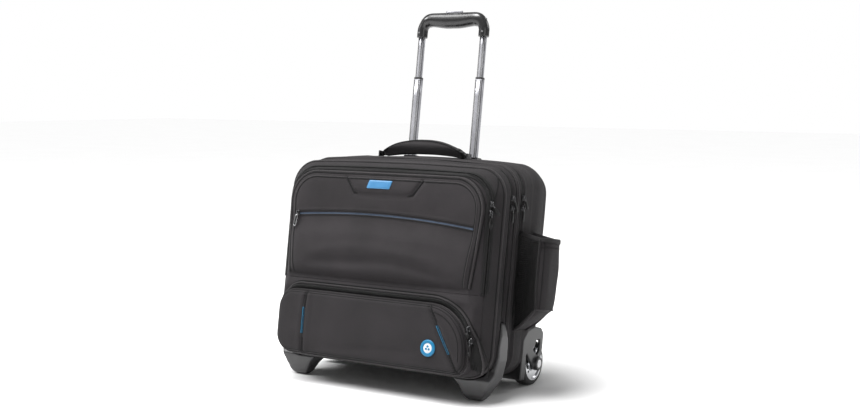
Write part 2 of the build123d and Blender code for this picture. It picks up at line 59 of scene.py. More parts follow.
def capped(rings):
    # both ends closed by a fan to the centre of the end ring
    ends = [np.repeat(r.mean(0)[None], len(r), 0) for r in (rings[0], rings[-1])]
    return np.array([ends[0], *rings, ends[1]])


def unitRows(vectors):
    return vectors / np.linalg.norm(vectors, axis=1)[:, None]


def tidyMesh(mesh, away=None, toward=None, closed=False):
    work = bmesh.new()
    work.from_mesh(mesh)
    bmesh.ops.remove_doubles(work, verts=work.verts, dist=2e-5)
    bmesh.ops.dissolve_degenerate(work, dist=1e-6, edges=work.edges)
    bmesh.ops.recalc_face_normals(work, faces=work.faces)
    score = 0.0
    if toward is not None:
        aim = Vector(place(toward) - place((0, 0, 0)))
        score = sum(f.normal.dot(aim) * f.calc_area() for f in work.faces)
    elif away is not None:
        centre = Vector(place(away))
        score = sum(f.normal.dot(f.calc_center_median() - centre) * f.calc_area() for f in work.faces)
    elif closed:
        score = work.calc_volume(signed=True)
    if score < 0:
        bmesh.ops.reverse_faces(work, faces=work.faces)
    work.to_mesh(mesh)
    work.free()
    mesh.shade_smooth()


def sheetData(grid, loop=False, flat=None):
    grid = np.asarray(grid, float)
    rows, columns = grid.shape[:2]
    wide = np.concatenate([grid, grid[:, :1]], 1) if loop else grid
    if flat:
        first, second = flat
        u, v = wide[..., first] / 1000, wide[..., second] / 1000
    else:
        u = np.cumsum(np.linalg.norm(np.diff(wide, axis=1, prepend=wide[:, :1]), axis=2), 1) / 1000
        v = np.cumsum(np.linalg.norm(np.diff(wide, axis=0, prepend=wide[:1]), axis=2), 0) / 1000
    index = np.arange(rows * columns).reshape(rows, columns)
    index = np.concatenate([index, index[:, :1]], 1) if loop else index

    def corners(a):
        return np.stack([a[:-1, :-1], a[:-1, 1:], a[1:, 1:], a[1:, :-1]], -1).reshape(-1, 4)

    return grid.reshape(-1, 3), corners(index), np.stack([corners(u), corners(v)], -1)


def makePiece(name, sheets, material, away=None, toward=None, closed=False):
    points, faces, uvs, start = [], [], [], 0
    for sheet in sheets:
        p, f, uv = sheetData(*sheet) if isinstance(sheet, tuple) else sheetData(sheet)
        points.append(p)
        faces.append(f + start)
        uvs.append(uv.reshape(-1, 2))
        start += len(p)
    mesh = bpy.data.meshes.new(name)
    mesh.from_pydata(place(np.concatenate(points)).tolist(), [], np.concatenate(faces).tolist())
    layer = mesh.uv_layers.new(name="UVMap")
    layer.data.foreach_set("uv", np.concatenate(uvs).astype(np.float32).ravel())
    tidyMesh(mesh, away, toward, closed)
    mesh.materials.append(material)
    piece = bpy.data.objects.new(name, mesh)
    bpy.context.scene.collection.objects.link(piece)
    return piece


def bake(piece):
    bpy.context.view_layer.update()
    made = bpy.data.meshes.new_from_object(piece.evaluated_get(bpy.context.evaluated_depsgraph_get()))
    piece.modifiers.clear()
    piece.data = made
    made.shade_smooth()
    return piece


def thicken(piece, thickness, offset=-1.0):
    solid = piece.modifiers.new("wall", "SOLIDIFY")
    solid.thickness, solid.offset, solid.use_even_offset = thickness / 1000, offset, False
    return bake(piece)


def padBetween(name, front, back, material, flat=(0, 2)):
    front, back = np.asarray(front), np.asarray(back)
    edges = [np.stack([front[0], back[0]]), np.stack([front[-1], back[-1]]),
             np.stack([front[:, 0], back[:, 0]]), np.stack([front[:, -1], back[:, -1]])]
    return makePiece(name, [(front, False, flat), (back, False, flat)] + edges, material, closed=True)


def seamShadeLine(name, path, wide, loop=False, up=None):
    # a flat dark strip lying along a seam: painted shade for the seam's groove
    return tubeAlong(name, path, wide / 2, seamThreadAndShade, loop=loop, sides=8, squeeze=0.42, up=up)


def tubeAlong(name, path, radius, material, loop=False, sides=10, squeeze=1.0, up=None):
    path = np.asarray(path, float)
    if loop:
        tangent = np.roll(path, -1, 0) - np.roll(path, 1, 0)
    else:
        tangent = np.gradient(path, axis=0)
    tangent /= np.linalg.norm(tangent, axis=1)[:, None]
    guide = np.array([0.0, 1.0, 0.0]) if up is None else np.asarray(up, float)
    guide = np.broadcast_to(guide, path.shape)
    side = np.cross(tangent, guide)
    side /= np.maximum(np.linalg.norm(side, axis=1), 1e-9)[:, None]
    over = np.cross(side, tangent)
    radii = np.broadcast_to(np.asarray(radius, float), (len(path),))[:, None, None]
    angle = np.linspace(0, 2 * math.pi, sides, endpoint=False)
    cosine, sine = np.cos(angle)[None, :, None], np.sin(angle)[None, :, None]
    grid = path[:, None] + (side[:, None] * cosine + over[:, None] * sine * squeeze) * radii
    if loop:
        grid = np.concatenate([grid, grid[:1]])
        return makePiece(name, [(grid, True)], material, closed=True)
    ends = [np.repeat(path[:1, None], sides, 1), np.repeat(path[-1:, None], sides, 1)]
    return makePiece(name, [(np.concatenate([ends[0], grid, ends[1]]), True)], material, closed=True)


def joinPieces(name, pieces):
    work = bmesh.new()
    materials = []
    for piece in pieces:
        start = len(work.faces)
        work.from_mesh(piece.data)
        work.faces.ensure_lookup_table()
        for face in work.faces[start:]:
            material = piece.data.materials[face.material_index]
            if material not in materials:
                materials.append(material)
            face.material_index = materials.index(material)
    mesh = bpy.data.meshes.new(name)
    work.to_mesh(mesh)
    work.free()
    for material in materials:
        mesh.materials.append(material)
    mesh.shade_smooth()
    joined = bpy.data.objects.new(name, mesh)
    bpy.context.scene.collection.objects.link(joined)
    for piece in pieces:
        bpy.data.objects.remove(piece)
    return joined


def smooth(t):
    t = np.clip(t, 0, 1)
    return t * t * (3 - 2 * t)


def ridge(t, width):
    return np.exp(-(t / width) ** 2)


def waves(a, b, seed, size, count=7):
    draw = np.random.RandomState(seed)
    total = 0.0
    for _ in range(count):
        heading, phase = draw.uniform(0, 2 * math.pi, 2)
        length = size * draw.uniform(0.6, 1.7)
        total = total + np.sin(2 * math.pi * (a * math.cos(heading) + b * math.sin(heading)) / length + phase)
    return total / math.sqrt(count)


def newMaterial(name):
    material = bpy.data.materials.new(name)
    material.use_nodes = True
    tree = material.node_tree
    return material, tree, tree.nodes["Principled BSDF"]


def addNode(tree, kind, **settings):
    node = tree.nodes.new(kind)
    for key, value in settings.items():
        setattr(node, key, value)
    return node


def mathNode(tree, operation, first, second=None):
    node = addNode(tree, "ShaderNodeMath", operation=operation)
    for socket, value in zip(node.inputs, (first, second)):
        if isinstance(value, bpy.types.NodeSocket):
            tree.links.new(value, socket)
        elif value is not None:
            socket.default_value = value
    return node.outputs[0]


def setSockets(node, **values):
    for key, value in values.items():
        node.inputs[key.replace("_", " ")].default_value = value


def noiseNode(tree, coordinates, scale, detail=3.0, roughness=0.55):
    node = addNode(tree, "ShaderNodeTexNoise")
    setSockets(node, Scale=scale, Detail=detail, Roughness=roughness)
    tree.links.new(coordinates, node.inputs["Vector"])
    return node.outputs["Fac"]


def rampNode(tree, value, stops):
    node = addNode(tree, "ShaderNodeValToRGB")
    ramp = node.color_ramp
    while len(ramp.elements) < len(stops):
        ramp.elements.new(0.5)
    for element, (position, colour) in zip(ramp.elements, stops):
        element.position, element.color = position, (*colour, 1)
    tree.links.new(value, node.inputs[0])
    return node.outputs[0]


def rangeNode(tree, value, low, high):
    node = addNode(tree, "ShaderNodeMapRange")
    setSockets(node, To_Min=low, To_Max=high)
    tree.links.new(value, node.inputs["Value"])
    return node.outputs["Result"]


def bumpNode(tree, height, shader, strength, distance):
    node = addNode(tree, "ShaderNodeBump")
    setSockets(node, Strength=strength, Distance=distance)
    tree.links.new(height, node.inputs["Height"])
    tree.links.new(node.outputs[0], shader.inputs["Normal"])


def wovenCloth(name, dark, light, thread=1.15, sheen=0.04, roughness=0.78, bump=0.55, rib=False,
               onObject=False):
    material, tree, shader = newMaterial(name)
    position = addNode(tree, "ShaderNodeTexCoord").outputs["Object"]
    source = position if onObject else addNode(tree, "ShaderNodeUVMap", uv_map="UVMap").outputs[0]
    parts = addNode(tree, "ShaderNodeSeparateXYZ")
    tree.links.new(source, parts.inputs[0])
    across, along = parts.outputs[0], parts.outputs[1]
    if onObject:
        along = mathNode(tree, "ADD", parts.outputs[1], parts.outputs[2])
    turns = 2 * math.pi / (thread / 1000)
    warp = mathNode(tree, "SINE", mathNode(tree, "MULTIPLY", across, turns))
    weft = mathNode(tree, "SINE", mathNode(tree, "MULTIPLY", along, turns))
    weave = warp if rib else mathNode(tree, "MULTIPLY", warp, weft)
    cloud = noiseNode(tree, position, 14.0, 4.0)
    grain = noiseNode(tree, position, 900.0, 2.0)
    level = mathNode(tree, "ADD", mathNode(tree, "MULTIPLY", weave, 0.17),
                     mathNode(tree, "ADD", mathNode(tree, "MULTIPLY", cloud, 0.55),
                              mathNode(tree, "MULTIPLY", grain, 0.4)))
    tree.links.new(rampNode(tree, level, [(0.2, dark), (0.75, light)]), shader.inputs["Base Color"])
    tree.links.new(rangeNode(tree, grain, roughness - 0.08, roughness + 0.1), shader.inputs["Roughness"])
    setSockets(shader, Sheen_Weight=sheen, Sheen_Roughness=0.45, Specular_IOR_Level=0.28)
    relief = mathNode(tree, "ADD", weave, mathNode(tree, "MULTIPLY", grain, 0.7))
    bumpNode(tree, relief, shader, bump, 0.00022)
    return material


def moulded(name, dark, light, roughness, grainScale=1500.0, bump=0.15, coat=0.0, metallic=0.0,
            spec=0.5):
    material, tree, shader = newMaterial(name)
    position = addNode(tree, "ShaderNodeTexCoord").outputs["Object"]
    cloud = noiseNode(tree, position, 25.0, 5.0)
    grain = noiseNode(tree, position, grainScale, 2.0)
    tree.links.new(rampNode(tree, cloud, [(0.3, dark), (0.7, light)]), shader.inputs["Base Color"])
    tree.links.new(rangeNode(tree, cloud, roughness - 0.05, roughness + 0.07), shader.inputs["Roughness"])
    setSockets(shader, Metallic=metallic, Specular_IOR_Level=spec, Coat_Weight=coat, Coat_Roughness=0.08)
    bumpNode(tree, grain, shader, bump, 0.0001)
    return material


def drawnMetal(name, dark, light, roughness, scale):
    material, tree, shader = newMaterial(name)
    position = addNode(tree, "ShaderNodeTexCoord").outputs["Object"]
    mapping = addNode(tree, "ShaderNodeMapping")
    mapping.inputs["Scale"].default_value = (scale, scale, scale)
    tree.links.new(position, mapping.inputs[0])
    lines = noiseNode(tree, mapping.outputs[0], 1.0, 4.0, 0.6)
    smudge = noiseNode(tree, position, 30.0, 3.0)
    tree.links.new(rampNode(tree, lines, [(0.3, dark), (0.7, light)]), shader.inputs["Base Color"])
    tree.links.new(rangeNode(tree, smudge, roughness - 0.06, roughness + 0.1), shader.inputs["Roughness"])
    shader.inputs["Metallic"].default_value = 1.0
    bumpNode(tree, lines, shader, 0.06, 0.00002)
    return material


# fabrics and mouldings: name, dark and light tone, then what differs
nylon = wovenCloth("charcoalNylon", (0.0085, 0.0071, 0.008), (0.0285, 0.0243, 0.027))
# the same charcoal nylon made darker for the lower pocket: painted shade, as its face curves down away from
# the light
shadedPocketNylon = wovenCloth("charcoalNylonPocketShaded", (0.0066, 0.0055, 0.0062), (0.0222, 0.0188, 0.021))
nylonSide = wovenCloth("charcoalNylonSide", (0.009, 0.0079, 0.0086), (0.0245, 0.0213, 0.0232))
# the cord cloth is the charcoal nylon made lighter: a painted highlight along the cords' ridges
pipingClothHighlit = wovenCloth("pipingClothHighlit", (0.0125, 0.011, 0.0118), (0.034, 0.0298, 0.032), 0.9, 0.1, 0.62)
# near black: the thread of the stitches, and also the strips of painted shade laid along the seams
seamThreadAndShade = wovenCloth("seamThreadAndShade", (0.002, 0.0019, 0.002), (0.006, 0.0055, 0.006), 0.6, 0.02, 0.85,
                        rib=True)
zipWeb = wovenCloth("zipWeb", (0.004, 0.0038, 0.004), (0.011, 0.0103, 0.0108), 0.8, 0.04, 0.8)
liningCloth = wovenCloth("greyLining", (0.05, 0.05, 0.052), (0.1, 0.1, 0.104), 0.5, 0.1, 0.72, 0.3)
webbing = wovenCloth("ribbedWebbing", (0.006, 0.0056, 0.0059), (0.018, 0.0165, 0.0175), 1.6, 0.06, 0.75,
                     0.8, rib=True)
netCord = wovenCloth("netCord", (0.004, 0.004, 0.004), (0.012, 0.012, 0.012), 0.5, 0.08, 0.75)
blueCloth = wovenCloth("blueInsert", (0.0, 0.07, 0.15), (0.003, 0.15, 0.28), 0.9, 0.2, 0.55, 0.4)
blueZipWeb = wovenCloth("blueGreyZip", (0.03, 0.05, 0.085), (0.09, 0.13, 0.2), 0.7, 0.15, 0.5, 0.4,
                        rib=True)
coilPlastic = moulded("coilPlastic", (0.004, 0.004, 0.004), (0.011, 0.011, 0.011), 0.5, spec=0.3)
satinGrey = moulded("satinGreyMoulding", (0.03, 0.029, 0.03), (0.05, 0.049, 0.051), 0.36, 1100.0, 0.35)
satinBlack = moulded("satinBlackGrip", (0.009, 0.009, 0.0095), (0.018, 0.018, 0.019), 0.27, 1200.0, 0.1,
                     coat=0.3)
# a darker copy of the satin moulding for the wheel housings: painted shade, as they sit on the shaded side
# under the bottle pocket
shadedHousingMoulding = moulded("satinHousingShaded", (0.006, 0.0058, 0.0062), (0.013, 0.0125, 0.0135), 0.3, 1100.0, 0.3)
glossBlack = moulded("glossBlack", (0.005, 0.005, 0.0055), (0.01, 0.01, 0.011), 0.14, 900.0, 0.05, coat=0.6)
tyreRubber = moulded("tyreRubber", (0.01, 0.01, 0.01), (0.024, 0.0235, 0.023), 0.62, 700.0, 0.4)
tabRubber = moulded("tabRubber", (0.004, 0.004, 0.004), (0.011, 0.011, 0.011), 0.45, 900.0, 0.2, spec=0.3)
boardPlastic = moulded("boardPlastic", (0.012, 0.012, 0.012), (0.024, 0.024, 0.024), 0.55, 600.0, 0.3)
anodised = moulded("silverAnodised", (0.4, 0.4, 0.43), (0.5, 0.5, 0.53), 0.34, 300.0, 0.02, metallic=0.55)
# dark strips standing in for the shade inside the tubes' grooves: painted shade
grooveShade = moulded("tubeGrooveShade", (0.012, 0.012, 0.013), (0.03, 0.03, 0.032), 0.4)
chrome = drawnMetal("chromeDisc", (0.62, 0.63, 0.65), (0.78, 0.79, 0.81), 0.14, 60.0)
brightSteel = drawnMetal("brightSteel", (0.42, 0.42, 0.43), (0.6, 0.6, 0.61), 0.25, 300.0)
blackNickel = drawnMetal("blackNickel", (0.045, 0.045, 0.047), (0.13, 0.13, 0.134), 0.26, 200.0)
labelBlue = moulded("labelBlue", (0.04, 0.17, 0.35), (0.06, 0.22, 0.42), 0.38, 1800.0, 0.12)
badgeBlue = moulded("badgeBlue", (0.002, 0.11, 0.24), (0.004, 0.17, 0.33), 0.35, 1500.0, 0.12)
badgeWhite = moulded("badgeWhite", (0.5, 0.52, 0.55), (0.66, 0.68, 0.7), 0.4, 1500.0, 0.12)
print("materials ready")

# the bag's outline at each depth: half width, top, fall of the crown, corner radius
stations = np.array([
    (-31, 190, 318, 2, 52), (-18, 198.5, 326.5, 2, 50), (0, 211, 338, 3, 45), (24, 211, 346, 5, 43),
    (61, 211, 355, 7, 42), (100, 211, 360.5, 8, 40), (120, 210, 362, 8, 40), (145, 207, 360.5, 8, 40),
    (165, 201, 356.5, 8, 40), (178, 195, 349, 8, 38)], float)
bagShape = {"low": 0.6, "lowRadius": 40.0, "floor": 26, "corner": 12, "side": 48, "crown": 60}
seams = {"flapFace": -31.0, "rim": -18.0, "zip2": 24.0, "zip3": 61.2, "back": 178.0, "fold": 132.0}


def station(depth):
    return [np.interp(depth, stations[:, 0], stations[:, k]) for k in range(1, 5)]


def outline(depth, grow=0.0):
    half, top, fall, radius = station(depth)
    half, radius, low = half + grow, max(radius + grow, 2.0), bagShape["low"] - grow
    side = top - fall + grow
    lowRadius = max(bagShape["lowRadius"] + grow, 2.0)
    floor = np.linspace(0, half - lowRadius, bagShape["floor"], endpoint=False)
    floor = np.stack([floor, np.full_like(floor, low)], 1)
    bend = np.linspace(-math.pi / 2, 0, bagShape["corner"], endpoint=False)
    lowCorner = np.stack([half - lowRadius + lowRadius * np.cos(bend),
                          low + lowRadius + lowRadius * np.sin(bend)], 1)
    climb = np.linspace(low + lowRadius, side - radius, bagShape["side"], endpoint=False)
    upright = np.stack([np.full_like(climb, half), climb], 1)
    bend = np.linspace(0, math.pi / 2, bagShape["corner"], endpoint=False)
    topCorner = np.stack([half - radius + radius * np.cos(bend),
                          side - radius + radius * np.sin(bend)], 1)
    x = np.linspace(half - radius, 0, bagShape["crown"] // 2, endpoint=False)
    crown = np.stack([x, side + fall * (1 - (x / (half - radius)) ** 2)], 1)
    right = np.concatenate([floor, lowCorner, upright, topCorner, crown])
    top = np.array([[0.0, side + fall]])
    left = right[:0:-1] * (-1, 1)
    return np.concatenate([right, top, left])


def outlineNormals(points):
    step = np.roll(points, -1, 0) - np.roll(points, 1, 0)
    return unitRows(np.stack([step[:, 1], -step[:, 0]], 1))


def ringPoints(depth, swell=0.0):
    flat = outline(depth)
    if not np.isscalar(swell) or swell:
        flat = flat + outlineNormals(flat) * np.reshape(swell, (-1, 1))
    return atDepth(flat, depth)


def bandSwell(depth, flat, shape, seed):
    # cloth puffs out between the seams at the marks and sinks into the zips at the hollows
    swell, puff = np.zeros(len(flat)), shape["puff"]
    edges = sorted(shape["marks"])
    for low, high in zip(edges, edges[1:]):
        if low <= depth <= high and high - low > 1:
            swell += puff * math.sin(math.pi * (depth - low) / (high - low)) ** 0.7
    for mark in shape["hollow"]:
        swell -= 1.7 * (1 - float(smooth((abs(depth - mark) - 4.6) / 1.6)))
        swell += 0.9 * ridge(abs(depth - mark) - 7.4, 1.9)
    around = np.cumsum(np.linalg.norm(np.diff(flat, axis=0, prepend=flat[:1]), axis=1))
    calm = smooth(min(abs(depth - e) for e in edges) / 12)
    underside = smooth(flat[:, 1] / 30)
    underHandle = (flat[:, 1] > 330) * smooth((112 - np.abs(flat[:, 0])) / 12) * (abs(depth - 88) < 28)
    swell += waves(around, depth * 1.4, seed, 120.0) * 0.8 * calm
    return swell * (0.25 + 0.75 * underside) * (1 - 0.75 * underHandle)


def sectionRing(shape, back, step, seed):
    count = max(2, int(round((back - shape["from"]) / step)) + 1)
    depths = np.round(np.linspace(shape["from"], back, count), 3)
    return [ringPoints(d, bandSwell(d, outline(d), shape, seed)) for d in depths]


def panelRows(ringRow, depthAt, rings=34):
    centre = np.array([0.0, 0.0, 175.0])
    rows = []
    for share in np.linspace(1, 0, rings)[1:]:
        row = centre + (ringRow - centre) * (share, 1, share)
        row[:, 1] = depthAt(row[:, 0], row[:, 2], ringRow, share)
        rows.append(row)
    return np.array(rows)


def wallPad(name, depth, thickness, inset, material):
    ring = ringPoints(depth, -inset)
    front = np.concatenate([[ring], panelRows(ring, lambda x, w, r, s: np.full(len(x), depth), 12)])
    back = front + (0, thickness, 0)
    edge = np.stack([front[0], back[0]])
    sheets = [(front, True, (0, 2)), (back, True, (0, 2)), (edge, True)]
    return makePiece(name, sheets, material, closed=True)


# the front of the bag, one surface of depth over x and height
frontShape = {"slope": 13.0, "rimInset": 8.5, "half": 190.0, "low": 9.0, "top": 317.5,
              "topRadius": 52.0, "lowRadius": 36.0, "slantTop": 265.0, "slantLow": 143.0,
              "slantLeft": 8.0, "slantRight": 13.0, "second": 8.6, "pouchLow": 140.0,
              "pouchDepth": 10.0, "creaseHeight": 139.0, "creaseDepth": 4.6}
blueZip = {"points": ((-172.0, 242.5), (-4.0, 248.7), (176.0, 236.8)), "half": 3.1}
yoke = {"halfTop": 77.0, "top": 309.0, "halfLow": 57.0, "low": 281.5}


def blueZipHeight(x):
    (x0, w0), (x1, w1), (x2, w2) = blueZip["points"]
    return np.polyval(np.polyfit((x0, x1, x2), (w0, w1, w2), 2), x)


def panelEdges(w):
    f = frontShape
    slant = np.clip((f["slantTop"] - w) / (f["slantTop"] - f["slantLow"]), 0, 1) ** 1.15
    slant = slant * (1 - smooth((f["slantLow"] - 6 - w) / 26))
    return -f["half"] + f["slantLeft"] * slant, f["half"] - f["slantRight"] * slant


def insideDistance(x, w, half, low, high, topRadius, lowRadius):
    middle, tall = (low + high) / 2, (high - low) / 2
    radius = np.where(w > middle, topRadius, lowRadius)
    qx, qw = np.abs(x) - half + radius, np.abs(w - middle) - tall + radius
    outside = np.hypot(np.maximum(qx, 0), np.maximum(qw, 0)) + np.minimum(np.maximum(qx, qw), 0) - radius
    return -outside


def polylineDistance(x, w, points):
    best = np.full(np.shape(x), 1e9)
    for (x0, w0), (x1, w1) in zip(points, points[1:]):
        dx, dw = x1 - x0, w1 - w0
        t = np.clip(((x - x0) * dx + (w - w0) * dw) / (dx * dx + dw * dw), 0, 1)
        best = np.minimum(best, np.hypot(x - x0 - t * dx, w - w0 - t * dw))
    return best


def arcPoints(cx, cw, radius, start, stop, count):
    angles = np.radians(np.linspace(start, stop, count))
    return [(cx + radius * math.cos(a), cw + radius * math.sin(a)) for a in angles]


def yokeLine():
    y = yoke
    corner = ((-7, 9), (-3, 3.5), (6, 0.5), (18, 0))
    left = [(-y["halfTop"], y["top"])] + [(-y["halfLow"] + dx, y["low"] + dw) for dx, dw in corner]
    return left + [(-x, w) for x, w in left[::-1]]


def frontDepth(x, w):
    f = frontShape
    left, right = panelEdges(w)
    edge = np.where(x < 0, -left, right)
    reach = np.abs(x)
    rim = f["half"] + f["rimInset"]
    over = f["half"] + (reach - edge) * f["rimInset"] / np.maximum(rim - edge, 1)
    mapped = np.where(reach > edge, over, reach * f["half"] / edge)
    inside = insideDistance(mapped, w, f["half"], f["low"], f["top"], f["topRadius"], f["lowRadius"])
    ramp = np.logaddexp(0, -inside / 1.6) * 1.6 / f["rimInset"]
    depth = seams["flapFace"] + f["slope"] * np.minimum(ramp, 1.0)
    body = 1 - np.exp(-np.maximum(inside, 0) / 9)
    zipLine = blueZipHeight(x)
    share = np.clip((w - f["pouchLow"]) / (zipLine - f["pouchLow"]), 0, 1)
    sag = np.sin(math.pi * share ** 0.72) ** 0.8 * (1 - 0.35 * (x / f["half"]) ** 2)
    pouch = -f["pouchDepth"] * sag * smooth((zipLine - w) / 40)
    arch = 8 * np.cos((x + 20) / 62)
    hollow = 4.2 * ridge(w - 163 - arch - 3 * np.sin(x / 31), 9)
    pouch += hollow * smooth((165 - np.abs(x - 5)) / 50)
    pouch -= 1.6 * ridge(w - 184 - arch, 9) * smooth((150 - np.abs(x + 5)) / 60)
    upper = np.clip((w - zipLine) / (f["top"] - zipLine), 0, 1)
    pillow = -2.6 * np.sin(math.pi * upper) ** 0.6
    line = polylineDistance(x, w, yokeLine())
    within = (w > yoke["low"]) & (np.abs(x) < yoke["halfLow"] + (w - yoke["low"]) * 0.72)
    pillow -= 1.8 * within * (1 - np.exp(-line / 5))
    pillow += 3.0 * ridge(line, 2.2)
    soft = np.where(w > zipLine, pillow, pouch)
    soft += 1.4 * ridge(w - zipLine, 2.4) * (np.abs(x) < 178)
    soft -= 0.9 * ridge(w - zipLine - 5.2, 2.2) * (np.abs(x) < 178)
    crease = f["creaseDepth"] * ridge(w - f["creaseHeight"], 8.5)
    belly = -2.2 * ridge(w - 121, 9)
    fold = waves(x, w * 1.7, 11, 170.0) * 0.55
    lower = smooth((w - 100) / 20)
    return depth + body * (soft * smooth((w - 134) / 8) + (crease + belly) * lower + fold)


def frontGrid(low, high, columns=170, rows=110):
    # rows run from low to high inside the outline at the rim, columns from left to right
    rim = outline(seams["rim"])
    right = rim[rim[:, 0] >= 0]
    right = right[np.argsort(right[:, 1], kind="stable")]
    side = right[right[:, 0] > 140]
    half, top, fall, radius = station(seams["rim"])
    crownLow, lowRadius = top - fall - 0.01, bagShape["lowRadius"]
    heights = np.linspace(low, min(high, crownLow), rows)
    if high > crownLow:
        bend = radius * (1 - np.cos(np.linspace(0, math.pi / 2, 18)))
        heights = np.unique(np.concatenate([heights[heights < crownLow - radius], crownLow - bend]))
    if low < 5:
        bend = lowRadius * (1 - np.cos(np.linspace(0, math.pi / 2, 14)))
        heights = np.unique(np.concatenate([low + bend, heights[heights > low + lowRadius]]))
    grid = []
    for height in heights:
        reach = np.interp(height, side[:, 1], side[:, 0])
        if height > crownLow - radius:
            up = height - (crownLow - radius)
            reach = half - radius + math.sqrt(max(radius ** 2 - up ** 2, 0))
        elif height < low + lowRadius and low < 5:
            down = low + lowRadius - height
            reach = half - lowRadius + math.sqrt(max(lowRadius ** 2 - down ** 2, 0))
        across = np.linspace(-1, 1, columns)
        across = np.sign(across) * np.abs(across) ** 0.92
        grid.append(np.column_stack([across * reach, np.zeros(columns), np.full(columns, height)]))
    grid = np.array(grid)
    if high > crownLow:
        share = smooth((grid[..., 2] - (crownLow - radius)) / radius)
        grid[..., 2] += fall * share * (1 - (grid[..., 0] / half) ** 2)
    return grid


def frontPad(name, low, high, backDepth, material):
    grid = frontGrid(low, high)
    front = grid.copy()
    front[..., 1] = np.minimum(frontDepth(grid[..., 0], grid[..., 2]), backDepth - 0.5)
    back = grid.copy()
    back[..., 1] = backDepth
    return padBetween(name, front, back, material)


foldGap = 0.12
frontPanel = frontPad("frontPanel", seams["fold"] + foldGap, 326.5, seams["rim"] - 0.4, nylon)
lowerFront = frontPad("organiserLowerFront", bagShape["low"], seams["fold"] - foldGap,
                      seams["rim"] + 1.5, nylon)
print("front panel and lower front made")

# the three sections
organiser = {"from": seams["rim"] + 0.4, "to": 23.8, "back": 21.4, "marks": (-18, 2.5, 24),
             "hollow": (24.0,), "puff": 1.2}
document = {"from": 24.2, "to": 61.0, "back": 58.6, "marks": (24, 42, 61.2), "hollow": (24.0, 61.2),
            "puff": 1.4}
wallThickness = 2.2


def ringSection(name, shape, seed):
    ring = sectionRing(shape, shape["to"], 2.0, seed)
    piece = makePiece(name + "Gusset", [(ring, True)], nylonSide, away=(0, 20, 175))
    wall = wallPad(name + "BackWall", shape["back"], wallThickness, 1.6, liningCloth)
    return thicken(piece, wallThickness), wall


organiserRing, organiserBack = ringSection("organiser", organiser, 3)
documentRing, documentBack = ringSection("document", document, 4)

rear = {"from": 61.4, "edge": 8.0, "marks": (61.2, 100, 150, 178), "hollow": (61.2,), "puff": 1.9}


def backPanel(x, w, ringRow, share):
    edge = 1 - share
    channels = 1.5 * ridge(np.abs(x) - 62, 2.2) + 1.5 * ridge(w - 96, 2.2) * (np.abs(x) < 200)
    depth = seams["back"] - 0.5 + 3.0 * smooth(edge / 0.2) - channels * smooth(edge / 0.12)
    return depth + waves(x, w, 8, 150.0) * 0.5


def rearShell():
    rows = sectionRing(rear, seams["back"] - rear["edge"], 2.3, 5)
    for angle in np.linspace(0, math.pi / 2, 7)[1:]:
        depth = seams["back"] - rear["edge"] * (1 - math.sin(angle))
        rows.append(ringPoints(depth, -rear["edge"] * (1 - math.cos(angle))))
    rows = np.array(rows)
    grid = np.concatenate([rows, panelRows(rows[-1], backPanel)])
    piece = makePiece("rearShell", [(grid, True)], nylonSide, away=(0, 120, 175))
    return thicken(piece, wallThickness)


def prismAlongX(name, points, low, high):
    grid = np.array([[(x, d, w) for d, w in points] for x in (low, high)])
    return makePiece(name, [(capped(grid), True)], nylonSide, closed=True)


def cutWith(piece, cutters):
    for cutter in cutters:
        cut = piece.modifiers.new("cut", "BOOLEAN")
        cut.operation, cut.object, cut.solver = "DIFFERENCE", cutter, "EXACT"
    bake(piece)
    for cutter in cutters:
        bpy.data.objects.remove(cutter)
    return piece


axle = {"depth": 165.14, "height": 21.72}
wheelWell = {"inner": 174.4, "outer": 240, "low": -12}
collarHole = {"halfDepth": 11.4, "halfWidth": 11.9, "low": 320, "top": 400}
tubes = {"half": 64.0, "depth": 147.0}


def wellCutters():
    # the rooms of the wheels and the holes under the trolley's collars
    cutters = []
    a, h, low = axle["depth"], axle["height"], wheelWell["low"]
    points = [(a - 57.4, low), (a + 60, low), (a + 60, h - 4), (a + 40, h + 8), (a + 19, h + 30),
              (a + 18.4, h + 52), (a + 8, h + 60.6), (a - 18, h + 63.6), (a - 42, h + 56.6),
              (a - 57.4, h + 40.6)]
    front, back = (tubes["depth"] + k * collarHole["halfDepth"] for k in (-1, 1))
    low, top = collarHole["low"], collarHole["top"]
    hole = [(front, low), (back, low), (back, top), (front, top)]
    for side in (-1, 1):
        reach = sorted((side * wheelWell["inner"], side * wheelWell["outer"]))
        cutters.append(prismAlongX("wellCutter", points, *reach))
        x, half = side * tubes["half"], collarHole["halfWidth"]
        cutters.append(prismAlongX("collarCutter", hole, x - half, x + half))
    return cutters


rearPiece = cutWith(rearShell(), wellCutters())
print("sections made")


